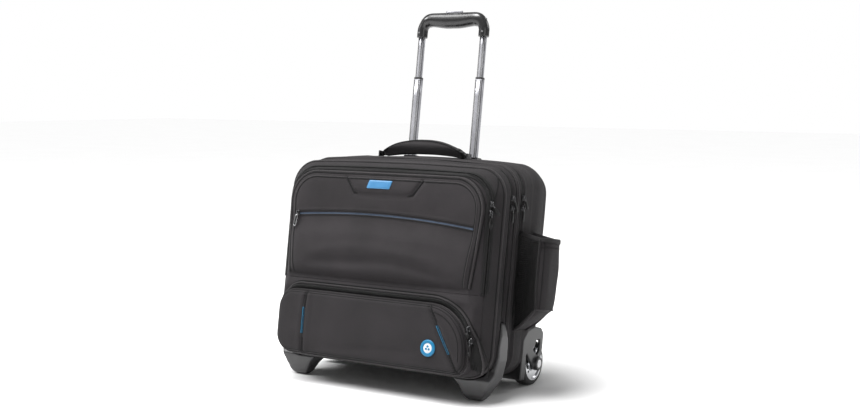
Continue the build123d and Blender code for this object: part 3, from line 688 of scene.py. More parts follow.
def rowTree(name, roundUnit):
    # small repeats along a line: zip teeth and stitches
    tree = bpy.data.node_groups.new(name, "GeometryNodeTree")
    for label, kind in (("Geometry", "Geometry"), ("Pitch", "Float"), ("Size", "Vector"),
                        ("Finish", "Material")):
        tree.interface.new_socket(label, in_out="INPUT", socket_type="NodeSocket" + kind)
    tree.interface.new_socket("Geometry", in_out="OUTPUT", socket_type="NodeSocketGeometry")
    inside, outside = tree.nodes.new("NodeGroupInput"), tree.nodes.new("NodeGroupOutput")
    curve = tree.nodes.new("GeometryNodeMeshToCurve")
    resample = tree.nodes.new("GeometryNodeResampleCurve")
    resample.mode = "LENGTH"
    instance = tree.nodes.new("GeometryNodeInstanceOnPoints")
    unit = tree.nodes.new("GeometryNodeMeshUVSphere" if roundUnit else "GeometryNodeMeshCube")
    if roundUnit:
        setSockets(unit, Segments=8, Rings=4, Radius=0.5)
    scale = tree.nodes.new("GeometryNodeTransform")
    tangent = tree.nodes.new("GeometryNodeInputTangent")
    facing = tree.nodes.new("GeometryNodeInputNamedAttribute")
    facing.data_type = "FLOAT_VECTOR"
    facing.inputs["Name"].default_value = "facing"
    along = tree.nodes.new("FunctionNodeAlignRotationToVector")
    along.axis = "X"
    upward = tree.nodes.new("FunctionNodeAlignRotationToVector")
    upward.axis, upward.pivot_axis = "Z", "X"
    realize = tree.nodes.new("GeometryNodeRealizeInstances")
    finish = tree.nodes.new("GeometryNodeSetMaterial")
    link = tree.links.new
    link(inside.outputs["Geometry"], curve.inputs[0])
    link(curve.outputs[0], resample.inputs["Curve"])
    link(inside.outputs["Pitch"], resample.inputs["Length"])
    link(resample.outputs[0], instance.inputs["Points"])
    link(unit.outputs["Mesh"], scale.inputs["Geometry"])
    link(inside.outputs["Size"], scale.inputs["Scale"])
    link(scale.outputs[0], instance.inputs["Instance"])
    link(tangent.outputs[0], along.inputs["Vector"])
    link(along.outputs[0], upward.inputs["Rotation"])
    link(next(o for o in facing.outputs if o.enabled), upward.inputs["Vector"])
    link(upward.outputs[0], instance.inputs["Rotation"])
    link(instance.outputs[0], realize.inputs[0])
    link(realize.outputs[0], finish.inputs["Geometry"])
    link(inside.outputs["Finish"], finish.inputs["Material"])
    link(finish.outputs[0], outside.inputs[0])
    return tree


stitchTree = rowTree("stitchRow", True)
toothTree = rowTree("toothRow", False)


def rowAlong(name, lines, tree, pitch, size, material):
    points, facing, edges = [], [], []
    for line, out in lines:
        start = len(points)
        points.extend(place(line).tolist())
        turned = place(np.asarray(out)) - place(np.zeros(3))
        facing.extend((turned / np.linalg.norm(turned, axis=-1, keepdims=True)).tolist())
        edges.extend((start + k, start + k + 1) for k in range(len(line) - 1))
    mesh = bpy.data.meshes.new(name)
    mesh.from_pydata(points, edges, [])
    mesh.attributes.new("facing", "FLOAT_VECTOR", "POINT").data.foreach_set(
        "vector", np.asarray(facing, np.float32).ravel())
    piece = bpy.data.objects.new(name, mesh)
    modifier = piece.modifiers.new("row", "NODES")
    modifier.node_group = tree
    values = {"Pitch": pitch / 1000, "Size": [s / 1000 for s in size], "Finish": material}
    for socket in tree.interface.items_tree:
        if socket.in_out == "INPUT" and socket.name in values:
            modifier[socket.identifier] = values[socket.name]
    bpy.context.scene.collection.objects.link(piece)
    return bake(piece)


def aboveLine(depth, low, grow=0.0, depthOf=None):
    # the outline over a height, from the right side over the top to the left, and its outward normals
    flat = outline(depth)
    normal = outlineNormals(flat)
    keep = outline(0.0)[:, 1] > low
    flat, normal = flat[keep] + normal[keep] * grow, normal[keep]
    line = atDepth(flat, depthOf(flat[:, 0], flat[:, 1]) if depthOf else depth)
    return line, atDepth(normal, 0.0)


def stripBetween(name, first, second, out, thickness, material):
    first, second, out = (np.asarray(a, float) for a in (first, second, out))
    lift = out * thickness
    rows = np.stack([first, second, second + lift, first + lift, first])
    mouth = np.stack([first, second, second + lift, first + lift])
    ends = []
    for k in (0, -1):
        centre = mouth[:, k].mean(0)
        ends.append(np.stack([mouth[[0, 1, 2, 3, 0], k], np.repeat(centre[None], 5, 0)]))
    return makePiece(name, [rows, *ends], material, closed=True)


zipSize = {"tapeFar": 5.4, "tapeNear": 0.5, "toothPitch": 1.9, "tooth": (1.05, 2.3, 1.5), "teeth": 1.15,
           "sunk": -1.5, "lift": 0.5}


def teethRow(name, line, out, shifted=False):
    # the two rows of a zip are half a pitch apart
    if shifted:
        line = line + unitRows(np.gradient(line, axis=0)) * zipSize["toothPitch"] / 2
    return rowAlong(name, [(line, out)], toothTree, zipSize["toothPitch"], zipSize["tooth"], coilPlastic)


def gussetTrace():
    # a dark strip of painted shade along the seam from the end of the front zip back to the corner of the
    # piping
    trace = []
    for t in np.linspace(0, 1, 24):
        depth, height = -16 + 15 * t, 283 + 40 * t
        flat = outline(depth)
        flat = flat[(flat[:, 0] > 100) & (flat[:, 1] > 60)]
        trace.append((np.interp(height, flat[:, 1], flat[:, 0]) + 1.0, depth - 0.5, height))
    return seamShadeLine("gussetTrace", trace, 3.0)


def ringZip(name, depth, low):
    # one half of the tape and one row of teeth for each of the two bodies it joins
    halves = []
    for side, label in ((-1, "Front"), (1, "Back")):
        near, out = aboveLine(depth + side * zipSize["tapeNear"], low, zipSize["sunk"])
        far, _ = aboveLine(depth + side * zipSize["tapeFar"], low, zipSize["sunk"])
        tape = stripBetween(name + label + "Tape", near, far, out, zipSize["lift"], zipWeb)
        line, out = aboveLine(depth + side * zipSize["teeth"], low, zipSize["sunk"] + zipSize["lift"] + 0.5)
        teeth = teethRow(name + label + "Teeth", line, out, side > 0)
        halves.append(joinPieces(name + label, [tape, teeth]))
    return halves


zip2Front, zip2Back = ringZip("zipTwo", seams["zip2"], 96.0)
zip3Front, zip3Back = ringZip("zipThree", seams["zip3"], 90.0)


def frontZip():
    # the front half lies on the panel's rim, the back half on the gusset behind it
    rim, low, thickness = seams["rim"], seams["fold"] + 3, 0.7

    def onPanel(x, w):
        return np.minimum(frontDepth(x, w) - 0.4, rim - 0.6)

    near, out = aboveLine(rim, low, -0.3, onPanel)
    far, _ = aboveLine(rim, low, -5.0, onPanel)
    out = out * 0.55 + (0, -0.8, 0)
    tape = stripBetween("zipOneFrontTape", near, far, out, thickness, zipWeb)
    line, _ = aboveLine(rim, low, -0.4, lambda x, w: rim - 1.6)
    front = joinPieces("zipOneFront", [tape, teethRow("zipOneFrontTeeth", line, out)])
    near, out = aboveLine(rim + 0.8, low, 0.5)
    far, _ = aboveLine(rim + 5.6, low, 0.6)
    out = out * 0.8 + (0, -0.55, 0)
    tape = stripBetween("zipOneBackTape", near, far, out, thickness, zipWeb)
    line, _ = aboveLine(rim + 0.9, low, 1.6)
    teeth = teethRow("zipOneBackTeeth", line, out, True)
    return front, joinPieces("zipOneBack", [tape, teeth, gussetTrace()])


zip1Front, zip1Back = frontZip()
print("zips made")

# corded edges and rows of stitches
stitching = {"size": (2.6, 0.55, 0.45), "pitch": 4.0}


def stitchRow(name, lines):
    return rowAlong(name, lines, stitchTree, stitching["pitch"], stitching["size"], seamThreadAndShade)


def pipedLoop(name, depth, grow, radius):
    # the cord, lighter as a painted highlight, and dark strips of painted shade along the seams before and
    # behind it
    parts = [tubeAlong(name + "Cord", ringPoints(depth, grow), radius, pipingClothHighlit, loop=True)]
    for gap, wide in ((-2.9, 1.15), (2.6, 0.8)):
        line = ringPoints(depth + gap, grow - 0.7)
        parts.append(tubeAlong(name + "Seam", line, wide, seamThreadAndShade, loop=True, sides=8))
    return joinPieces(name, parts)


outerPiping = pipedLoop("outerPiping", 2.2, 0.9, 2.1)
middlePiping = pipedLoop("documentPiping", 43.5, 1.9, 1.7)
middlePipingBack = pipedLoop("documentPipingBack", 39.0, 1.9, 1.2)
print("pipings made")


def onFront(points, lift):
    p = np.asarray(points, float)
    return atDepth(p, frontDepth(p[:, 0], p[:, 1]) - lift)


def panelLine(inset, low):
    # the front panel's edge, which leans inward towards the crease
    f = frontShape
    heights = np.linspace(low, f["top"] - f["topRadius"], 46, endpoint=False)
    left, right = panelEdges(heights)
    corner = f["topRadius"] - inset
    cx, cw = f["half"] - f["topRadius"], f["top"] - f["topRadius"]
    rightSide = [(x - inset, w) for x, w in zip(right, heights)]
    leftSide = [(x + inset, w) for x, w in zip(left, heights)][::-1]
    across = [(x, f["top"] - inset) for x in np.linspace(cx, -cx, 50)][1:-1]
    return (rightSide + arcPoints(cx, cw, corner, 0, 90, 14) + across
            + arcPoints(-cx, cw, corner, 90, 180, 14) + leftSide)


def panelPiping():
    low, second = 141.0, frontShape["second"]
    cord = tubeAlong("panelCord", onFront(panelLine(0.0, low), 0.3), 1.9, pipingClothHighlit)
    # dark strips of painted shade along the seams beside the cord and the fold
    dark = [seamShadeLine("panelSeam", onFront(panelLine(inset, low), 0.0), wide)
            for inset, wide in ((2.9, 2.2), (-3.0, 2.4))]
    fold = tubeAlong("panelFold", onFront(panelLine(second, low + 2), -0.3), 1.1, pipingClothHighlit, sides=8)
    dark.append(seamShadeLine("panelFoldSeam", onFront(panelLine(second + 1.9, low + 2), 0.0), 1.9))
    return joinPieces("panelPiping", [cord, fold, *dark])


frontPiping = panelPiping()


def pathStitches(name, paths, surface=onFront):
    return stitchRow(name, [(surface(path, 0.12), np.tile((0.0, -1.0, 0.0), (len(path), 1)))
                            for path in paths])


def densePath(points, step=2.0):
    points = np.asarray(points, float)
    lengths = np.concatenate([[0], np.cumsum(np.linalg.norm(np.diff(points, axis=0), axis=1))])
    at = np.linspace(0, lengths[-1], max(3, int(lengths[-1] / step)))
    return np.column_stack([np.interp(at, lengths, points[:, k]) for k in range(points.shape[1])])


def yokeSeam():
    path = densePath(yokeLine(), 1.5)
    # the yoke's seam drawn as a wide dark strip of painted shade
    dark = seamShadeLine("yokeSeamShade", onFront(path, 1.5), 3.4)
    inner = [(x * 0.95, w + 3.2) for x, w in yokeLine()]
    stitches = pathStitches("yokeStitches", [densePath(inner, 1.5)])
    return joinPieces("yokeSeam", [dark, stitches])


yokePiece = yokeSeam()


def blueZipPiece():
    x = np.linspace(-171.5, 176, 150)
    middle = np.column_stack([x, blueZipHeight(x)])
    out = np.tile((0.0, -1.0, 0.0), (len(x), 1))
    parts = []
    base = onFront(middle, -0.6)[:, 1]
    for side in (-1, 1):
        near = atDepth(middle + (0, side * 0.25), base - 0.6)
        far = atDepth(middle + (0, side * blueZip["half"]), base - 0.1)
        parts.append(stripBetween("blueTape", near, far, out, 0.8, blueZipWeb))
    # dark strips of painted shade along both edges of the zip, where the fabric above overlaps it
    for label, rise, lift, wide in (("ShadeBelow", -blueZip["half"] - 0.9, 0.1, 2.0),
                                    ("ShadeAbove", blueZip["half"] + 0.5, 0.2, 1.4)):
        parts.append(seamShadeLine("blueZip" + label, onFront(middle + (0, rise), lift), wide))
    parts.append(pathStitches("blueZipStitches", [middle + (0, -6.4), middle + (0, 6.0)]))
    return joinPieces("blueArchedZip", parts)


archedZip = blueZipPiece()


tagProfile = ((0.0, -0.3), (0.6, -0.3), (1.0, -0.3), (1.0, 0.45), (0.985, 0.8), (0.95, 1.0), (0.6, 1.0),
              (0.0, 1.0))


def cushionTag(name, shape, thickness, surface, material):
    # a thin plate with rounded edges lying on a surface
    centre = shape.mean(0)
    rows = []
    for share, lift in tagProfile:
        ring = centre + (shape - centre) * share
        rows.append(atDepth(ring, surface(ring[:, 0], ring[:, 1]) - thickness * lift))
    return makePiece(name, [(np.array(rows), True, (0, 2))], material, closed=True)


def roundedShape(points, radius, count=6):
    points = np.asarray(points, float)
    made = []
    for k in range(len(points)):
        before, here, after = points[k - 1], points[k], points[(k + 1) % len(points)]
        a = here + (before - here) / np.linalg.norm(before - here) * radius
        b = here + (after - here) / np.linalg.norm(after - here) * radius
        for t in np.linspace(0, 1, count):
            made.append((1 - t) ** 2 * a + 2 * t * (1 - t) * here + t * t * b)
    return densePath(np.array(made + made[:1]), 1.2)[:-1]


tag = {"corners": ((-32.5, 292), (14, 292), (18.5, 306), (-28, 306)), "thickness": 1.0}
labelPiece = cushionTag("blankLabel", roundedShape(tag["corners"], 1.6), tag["thickness"], frontDepth,
                        labelBlue)
print("front panel details made")

# the lower pocket
pocket = {"low": 5.0, "top": 112.0, "edge": 9.0, "stand": 1.5, "bulge": 12.0, "thickness": 2.0,
          "centre": (-8.0, 56.0), "leftSeam": -130.0}


def bulgeArc(start, middle, stop, count=12):
    (x0, w0), (x1, w1), (x2, w2) = start, middle, stop
    d = 2 * (x0 * (w1 - w2) + x1 * (w2 - w0) + x2 * (w0 - w1))
    s0, s1, s2 = x0 * x0 + w0 * w0, x1 * x1 + w1 * w1, x2 * x2 + w2 * w2
    cx = (s0 * (w1 - w2) + s1 * (w2 - w0) + s2 * (w0 - w1)) / d
    cw = (s0 * (x2 - x1) + s1 * (x0 - x2) + s2 * (x1 - x0)) / d
    a0, a1, a2 = (math.atan2(w - cw, x - cx) for x, w in (start, middle, stop))
    a1 += 2 * math.pi * round((a0 - a1) / (2 * math.pi))
    a2 += 2 * math.pi * round((a1 - a2) / (2 * math.pi))
    radius = math.hypot(x0 - cx, w0 - cw)
    return [(cx + radius * math.cos(a), cw + radius * math.sin(a)) for a in np.linspace(a0, a2, count)]


def pocketLoop():
    low, top = pocket["low"], pocket["top"]
    points = [(-10, low), (162, low)] + bulgeArc((162, low), (181, 10.5), (187, 24))[1:]
    points += bulgeArc((185.5, 48), (164, 92), (115, top), 18) + [(-158, top)]
    points += bulgeArc((-158, top), (-181, 102), (-190, 80))[1:]
    points += bulgeArc((-190, 36), (-181, 14), (-158, low)) + [(-10, low)]
    return densePath(points, 3.0)[:-1]


pocketEdge = pocketLoop()
pocketClosed = [tuple(p) for p in pocketEdge] + [tuple(pocketEdge[0])]


def leftSeamX(w):
    share = (w - pocket["low"]) / (pocket["top"] - pocket["low"])
    return pocket["leftSeam"] - 2.0 * np.sin(share * math.pi)


def growLoop(loop, amount):
    return loop + outlineNormals(loop) * amount


def pocketDepth(x, w):
    inside = polylineDistance(x, w, pocketClosed)
    rise = np.clip(inside / pocket["edge"], 0, 1)
    depth = seams["flapFace"] - pocket["stand"] - pocket["bulge"] * np.sqrt(1 - (1 - rise) ** 2)
    depth -= 2.0 * np.sin(math.pi * np.clip(inside / 110, 0, 0.5))
    for distance in (np.abs(x - leftSeamX(w)), polylineDistance(x, w, [(115, 112), (176, 6)])):
        depth += 2.4 * ridge(distance, 2.0) - 1.0 * ridge(distance - 7, 5.0)
    depth += waves(x, w * 1.2, 21, 140.0) * 0.5 * smooth(inside / 20)
    depth += 1.0 * ridge(w - 26 - 5 * np.sin(x / 45), 7) * smooth((120 - np.abs(x - 10)) / 60)
    return depth


def pocketFront():
    centre = np.array(pocket["centre"])
    rows = [atDepth(pocketEdge, seams["flapFace"] - 0.5)]
    for share in np.concatenate([1 - np.linspace(0, 0.14, 12), np.linspace(0.84, 0, 36)]):
        rows.append(onPocket(centre + (pocketEdge - centre) * share, 0.0))
    sheet = (np.array(rows), True, (0, 2))
    return thicken(makePiece("pocketFront", [sheet], shadedPocketNylon, toward=(0, -1, 0)), pocket["thickness"])


def onPocket(points, lift):
    p = np.asarray(points, float)
    return atDepth(p, pocketDepth(p[:, 0], p[:, 1]) - lift)


pocketPiece = pocketFront()


def pocketSeams():
    parts = []
    heights = np.linspace(7, 110, 52)
    left = np.column_stack([leftSeamX(heights), heights])
    right = densePath([(115.5, 111), (175.5, 7)], 2.0)
    # the pocket's seams and the lines inside its edge are drawn as dark strips of painted shade
    for k, path in enumerate((left, right)):
        parts.append(seamShadeLine("pocketSeamShade%d" % k, onPocket(path, 1.5), 3.0))
    rows = [left + (3.0, 0), left - (3.0, 0), right + (3.2, 0), right - (3.4, 0)]
    parts.append(pathStitches("pocketStitches", rows, surface=onPocket))
    for inset, wide in ((-4.2, 1.6), (-1.4, 1.6)):
        edge = growLoop(pocketEdge, inset)
        parts.append(seamShadeLine("pocketEdgeSeam", onPocket(edge, 0.1), wide, loop=True))
    inner = growLoop(pocketEdge, -11.0)
    inner = inner[(inner[:, 0] > 118) & (inner[:, 1] > 26)]
    parts.append(seamShadeLine("pocketInnerSeam", onPocket(inner, 0.1), 1.8))
    ring = atDepth(growLoop(pocketEdge, 0.2), seams["flapFace"] - 2.4)
    parts.append(tubeAlong("pocketCord", ring, 1.7, pipingClothHighlit, loop=True))
    return joinPieces("pocketSeams", parts)


pocketSeamPiece = pocketSeams()


def pocketZip():
    # the track above and beside the pocket, and its border: a lighter cord as a painted highlight, and a dark
    # strip of painted shade
    grown = growLoop(pocketEdge, 6.6)
    keep = (grown[:, 1] > 84) | ((grown[:, 0] > 100) & (grown[:, 1] > 16))
    squeeze = 1 - 0.72 * smooth((-148 - grown[:, :1]) / 36)
    flare = 1.1 * smooth((72 - grown[:, 1:]) / 60) * (grown[:, :1] > 150)

    def track(amount, lift):
        spread = 1 + flare * amount / 12
        line = (pocketEdge + outlineNormals(pocketEdge) * amount * squeeze * spread)[keep]
        start = np.argmax(np.linalg.norm(np.diff(line, axis=0, append=line[:1]), axis=1)) + 1
        line = np.roll(line, -start, 0)
        base = np.minimum(frontDepth(line[:, 0], line[:, 1]), seams["flapFace"] + 9)
        return atDepth(line, base - lift)

    near, far = track(2.0, 0.5), track(11.4, 0.5)
    out = np.tile((0.0, -1.0, 0.0), (len(near), 1))
    parts = [stripBetween("pocketTape", near, far, out, 0.9, zipWeb)]
    for k, amount in enumerate((5.6, 7.6)):
        parts.append(teethRow("pocketTeeth%d" % k, track(amount, 1.9), out, k > 0))
    parts.append(tubeAlong("pocketBorder", track(12.2, 0.8), 1.6, pipingClothHighlit))
    parts.append(seamShadeLine("pocketBorderSeam", track(15.0, 0.5), 2.4))
    return joinPieces("pocketZipTrack", parts)


pocketZipPiece = pocketZip()

badge = {"x": 121.0, "height": 42.0, "radius": 13.5, "inner": 8.0, "lobes": 3, "lobeReach": 2.9}


def turnedDisc(name, x, height, profile, material):
    # a profile of radius and depth turned about an axis square to the pocket's face
    turn = np.linspace(0, 2 * math.pi, 64, endpoint=False)
    face = float(onPocket([(badge["x"], badge["height"])], 0.0)[0, 1])
    rows = [atDepth(np.column_stack([x + r * np.cos(turn), height + r * np.sin(turn)]), face + d)
            for r, d in profile]
    return makePiece(name, [(np.array(rows), True, (0, 2))], material, closed=True)


def badgePieces():
    x, height, radius, inner = (badge[k] for k in ("x", "height", "radius", "inner"))
    ring = [(0.0, 0.8), (radius, 0.8), (radius, -0.9), (radius - 0.9, -1.7), (inner + 0.7, -1.7),
            (inner, -1.2), (inner, 0.2), (0.0, 0.2)]
    centre = [(0.0, 0.1), (inner + 0.1, 0.1), (inner + 0.1, -0.9), (inner - 0.6, -1.2), (0.0, -1.35)]
    lobe = [(0.0, -0.9), (1.9, -0.9), (1.9, -1.5), (1.5, -1.65), (0.0, -1.65)]
    parts = [turnedDisc("badgeRing", x, height, ring, badgeBlue),
             turnedDisc("badgeCentre", x, height, centre, badgeWhite)]
    for k in range(badge["lobes"]):
        angle = math.radians(90 + 120 * k)
        at = x + badge["lobeReach"] * math.cos(angle), height + badge["lobeReach"] * math.sin(angle)
        parts.append(turnedDisc("badgeLobe%d" % k, *at, lobe, badgeBlue))
    return joinPieces("roundBadge", parts)


badgePiece = badgePieces()
inserts = {"width": 3.2, "left": ((-131.9, 38), (-131.9, 84)), "right": ((133.2, 80.0), (159.5, 35.5))}


def blueInsert(name, ends):
    (x0, w0), (x1, w1) = ends
    across = np.array([w1 - w0, x0 - x1], float)
    across *= inserts["width"] / 2 / np.linalg.norm(across)
    corners = [(x0 + across[0], w0 + across[1]), (x1 + across[0], w1 + across[1]),
               (x1 - across[0], w1 - across[1]), (x0 - across[0], w0 - across[1])]
    return cushionTag(name, roundedShape(corners, 1.4), 1.5, pocketDepth, blueCloth)


insertPieces = joinPieces("blueInserts", [blueInsert(k + "Insert", inserts[k]) for k in ("left", "right")])
print("lower pocket made")

# padded carry handle, swollen as cloth and then given its seams
handle = {"half": 88.0, "depth": 86.0, "top": 390.5, "endTop": 361.5, "under": 363.4, "foot": 359.0,
          "footFrom": 74.0, "width": 13.6, "power": 0.72, "voxel": 3.2, "pressure": 4.0, "cap": 1.6,
          "slim": ((359, 363, 368, 374, 382), (3.0, 5.0, 8.6, 12.6, 15.0)),
          "bands": ((3.0, 0.9), (9.5, 1.1), (17.0, 0.8))}
paddedNylon = wovenCloth("paddedNylon", (0.0055, 0.005, 0.0053), (0.017, 0.0152, 0.0162), onObject=True)
handleGrip = wovenCloth("handlePanel", (0.0155, 0.0138, 0.0148), (0.037, 0.0332, 0.0355), 1.15, 0.1, 0.7)


def addRemesh(piece, voxel):
    remesh = piece.modifiers.new("remesh", "REMESH")
    remesh.mode, remesh.voxel_size, remesh.use_smooth_shade = "VOXEL", voxel / 1000, True


def swell(piece, voxel, pressure, cap, frames=20):
    # air pressure pushes the cloth out; no point moves further than the cap
    addRemesh(piece, voxel)
    bake(piece)
    rest = np.array([v.co for v in piece.data.vertices])
    cloth = piece.modifiers.new("cloth", "CLOTH")
    cloth.settings.quality, cloth.settings.mass = 5, 0.2
    cloth.settings.use_pressure, cloth.settings.uniform_pressure_force = True, pressure
    cloth.settings.effector_weights.gravity = 0
    cloth.settings.tension_stiffness, cloth.settings.bending_stiffness = 20, 1.5
    scene = bpy.context.scene
    for number in range(1, frames + 1):
        scene.frame_set(number)
    moved = piece.evaluated_get(bpy.context.evaluated_depsgraph_get()).data
    move = np.array([v.co for v in moved.vertices]) - rest
    reach = np.linalg.norm(move, axis=1)[:, None]
    move *= np.minimum(1, cap / 1000 / np.maximum(reach, 1e-9))
    piece.modifiers.clear()
    piece.data.vertices.foreach_set("co", (rest + move).astype(np.float32).ravel())
    scene.frame_set(1)
    finer = piece.modifiers.new("finer", "SUBSURF")
    finer.levels = finer.render_levels = 1
    return bake(piece)


def handleSection(x):
    # middle height, half height and half width
    h = handle
    share = np.abs(x) / h["half"]
    top = h["top"] - (h["top"] - h["endTop"]) * share ** 2.5
    under = np.where(np.abs(x) > h["footFrom"], h["foot"],
                     h["under"] - (h["under"] - h["foot"]) * (np.abs(x) / h["footFrom"]) ** 2.3)
    width = h["width"] * (1 - 0.3 * smooth((share - 0.55) / 0.45))
    return (top + under) / 2, (top - under) / 2, width


def handleRing(x, grow=0.0, count=32):
    middle, tall, width = handleSection(x)
    angle = np.linspace(0, 2 * math.pi, count, endpoint=False)
    cosine, sine = np.cos(angle), np.sin(angle)
    height = middle + np.sign(sine) * np.abs(sine) ** handle["power"] * (tall + grow)
    height = np.maximum(height, handle["foot"] - 0.2)
    slim = np.interp(height, *handle["slim"]) + 0.3 * grow
    across = np.minimum(np.abs(cosine) ** handle["power"] * (width + grow), slim)
    depth = handle["depth"] + np.sign(cosine) * across
    return np.column_stack([np.full(count, x), depth, height])


def carryHandle():
    places = np.linspace(-handle["half"] + 1.5, handle["half"] - 1.5, 70)
    rings = [handleRing(x, -handle["cap"]) for x in places]
    pad = makePiece("carryHandle", [(capped(rings), True)], paddedNylon, closed=True)
    return swell(pad, handle["voxel"], handle["pressure"], handle["cap"])


def handlePanelRows(side, lift=0.5):
    x = np.linspace(-79, 79, 90)
    middle, tall, width = handleSection(x)
    rows = []
    for angle in np.radians(np.linspace(-58, 30, 10)):
        cosine, sine = np.abs(np.cos(angle)) ** handle["power"], np.abs(np.sin(angle)) ** handle["power"]
        height = middle + np.sign(np.sin(angle)) * sine * (tall + lift)
        slim = np.interp(height, *handle["slim"]) + lift
        depth = handle["depth"] + side * (np.minimum(cosine * (width + lift), slim) + 0.2)
        rows.append(np.column_stack([x, depth, height]))
    return np.array(rows)


def handleDetails():
    # a lighter panel with seams and stitches on each face, and webbing bands at both ends
    parts = []
    for side in (-1, 1):
        rows = handlePanelRows(side)
        panel = makePiece("handlePanel", [rows], handleGrip, toward=(0, side, 0))
        parts.append(thicken(panel, 1.0))
        for k in (0, -1):
            line = rows[k] + (0, side * 0.1, 0)
            parts.append(tubeAlong("handleSeam", line, 0.9, seamThreadAndShade, sides=8))
        line = rows[-2] + (0, side * 0.35, 0)
        out = np.tile((0.0, float(side), 0.2), (len(line), 1))
        parts.append(stitchRow("handleStitches", [(line, out)]))
    profile = ((-2.4, -1.6), (-2.4, -1.0), (-2.2, 0.0), (2.2, 0.0), (2.4, -1.0), (2.4, -1.6), (-2.4, -1.6))
    for side in (-1, 1):
        for inset, grow in handle["bands"]:
            x = side * (handle["half"] - inset)
            rows = [handleRing(x + d, grow + lift) for d, lift in profile]
            parts.append(makePiece("handleBand", [(np.array(rows), True)], webbing, closed=True))
    return joinPieces("carryHandleTrim", parts)


carryPad = carryHandle()
carryTrim = handleDetails()
print("carry handle made")

# box pleated bottle pocket: a net front gusset, a cloth outer face, a bound rim
bottlePocket = {"body": (209.5, 67.6), "corner": (257.0, 48.5), "reach": 271.3, "centre": (236, 80, 170),
                "wall": 1.7, "rimBody": 241.5, "rimOut": 232.0, "lowBody": 80.0, "lowOut": 117.0,
                "cell": 3.4, "thread": 1.0, "binding": 9.0}
gussetPlan = [bottlePocket["body"], (222, 61.5), (236, 55.6), (248, 51.3), bottlePocket["corner"]]
panelPlan = [bottlePocket["corner"], (264.0, 51.5), (269.0, 59), (270.9, 70), (270.9, 84), (268.5, 96),
             (262, 105), (250, 109.5), (232, 111.6), (209.5, 112.5)]


def planPath(points, step):
    # a smooth curve through the points of a plan
    raw = np.asarray(points, float)
    fine = np.linspace(0, len(raw) - 1, 120)
    curve = np.zeros((120, 2))
    for k in range(2):
        slopes = np.gradient(raw[:, k])
        base = np.minimum(fine.astype(int), len(raw) - 2)
        t = fine - base
        curve[:, k] = ((2 * t ** 3 - 3 * t ** 2 + 1) * raw[base, k] + (t ** 3 - 2 * t ** 2 + t) * slopes[base]
                       + (-2 * t ** 3 + 3 * t ** 2) * raw[base + 1, k] + (t ** 3 - t ** 2) * slopes[base + 1])
    return densePath(curve, step)


def pocketWall(plan, step, rowsCount, seed, slack=1.0):
    b, path = bottlePocket, planPath(plan, step)
    share = np.clip((path[:, 0] - 211) / (b["corner"][0] - 211), 0, 1)
    low = b["lowBody"] + (b["lowOut"] - b["lowBody"]) * share ** 1.4
    high = b["rimBody"] + (b["rimOut"] - b["rimBody"]) * share ** 0.8
    normal = np.gradient(path, axis=0)
    normal = np.column_stack([normal[:, 1], -normal[:, 0]]) / np.linalg.norm(normal, axis=1)[:, None]
    along = np.arange(len(path)) * step
    rows = []
    for t in np.linspace(0, 1, rowsCount):
        height = low + (high - low) * t
        bow = 1.3 * math.sin(math.pi * t) ** 0.8 - 2.6 * (1 - t) ** 6
        rumple = waves(along, height * 0.8, seed, 60.0) * 0.5 * slack * math.sin(math.pi * t) ** 0.5
        shift = (bow + rumple) * (share > 0.02)
        rows.append(np.column_stack([path + normal * shift[:, None], height]))
    grid = np.array(rows)
    grid[..., 0] = np.minimum(grid[..., 0], b["reach"])
    return grid


def bottlePocketPieces():
    b = bottlePocket
    panelGrid = pocketWall(panelPlan, 2.4, 64, 31)
    panel = thicken(makePiece("pocketOuter", [panelGrid], nylonSide, away=b["centre"]), b["wall"])
    gussetGrid = pocketWall(gussetPlan, b["cell"], 44, 32, 0.5)
    net = makePiece("pocketNet", [gussetGrid], netCord, away=b["centre"])
    wire = net.modifiers.new("net", "WIREFRAME")
    wire.thickness, wire.use_even_offset, wire.use_boundary = b["thread"] / 1000, False, True
    parts = [panel, bake(net)]
    whole = np.concatenate([gussetGrid[:, :-1], pocketWall(panelPlan, b["cell"], 44, 31)], 1)
    rim, half = whole[-1] + (0, 0, -b["binding"] / 2 + 1.0), 1.7
    parts.append(tubeAlong("pocketRim", rim, half, webbing, sides=12, squeeze=b["binding"] / (2 * half),
                           up=(0, 0, 1)))
    foot = whole[0]
    body = foot.copy()
    body[:, 0], body[:, 2] = b["body"][0], b["lowBody"] - 1.5
    body[:, 1] = b["body"][1] + (foot[:, 1] - foot[:, 1].min()) / np.ptp(foot[:, 1]) * 44
    rows = np.array([foot + (body - foot) * t for t in np.linspace(0, 1, 10)])
    rows[..., 2] -= 2.5 * np.sin(math.pi * np.linspace(0, 1, 10))[:, None]
    base = makePiece("pocketBase", [rows], nylonSide, toward=(0.4, 0, -1))
    parts.append(thicken(base, b["wall"]))
    parts.append(tubeAlong("pocketFootCord", foot, 1.5, pipingClothHighlit, sides=8))
    parts.append(tubeAlong("pocketCornerCord", gussetGrid[:, -1] + (0.2, -0.6, 0), 1.9, webbing))
    parts.append(tubeAlong("pocketFrontHem", gussetGrid[:, 0] + (1.2, -0.6, 0), 1.9, webbing))
    for k, lift in ((3, 0.2), (30, 0.55)):
        line = panelGrid[:, k] + (lift, 0, 0)
        parts.append(tubeAlong("pocketPanelSeam%d" % k, line, 0.7, seamThreadAndShade, sides=8))
    lines = []
    for t in (-5, -9):
        line = panelGrid[t]
        out = np.gradient(line, axis=0)
        out = np.column_stack([out[:, 1], -out[:, 0], np.zeros(len(out))])
        out = unitRows(out * np.sign((out * (line - b["centre"])).sum(1))[:, None])
        lines.append((line + out * 0.2, out))
        # dark strips of painted shade below the rim binding
        parts.append(seamShadeLine("pocketRimSeam%d" % -t, line + out * 0.4, 1.8, up=(0, 0, 1)))
    parts.append(stitchRow("pocketRimStitches", lines))
    return joinPieces("bottlePocket", parts)


bottlePiece = bottlePocketPieces()
print("bottle pocket made")

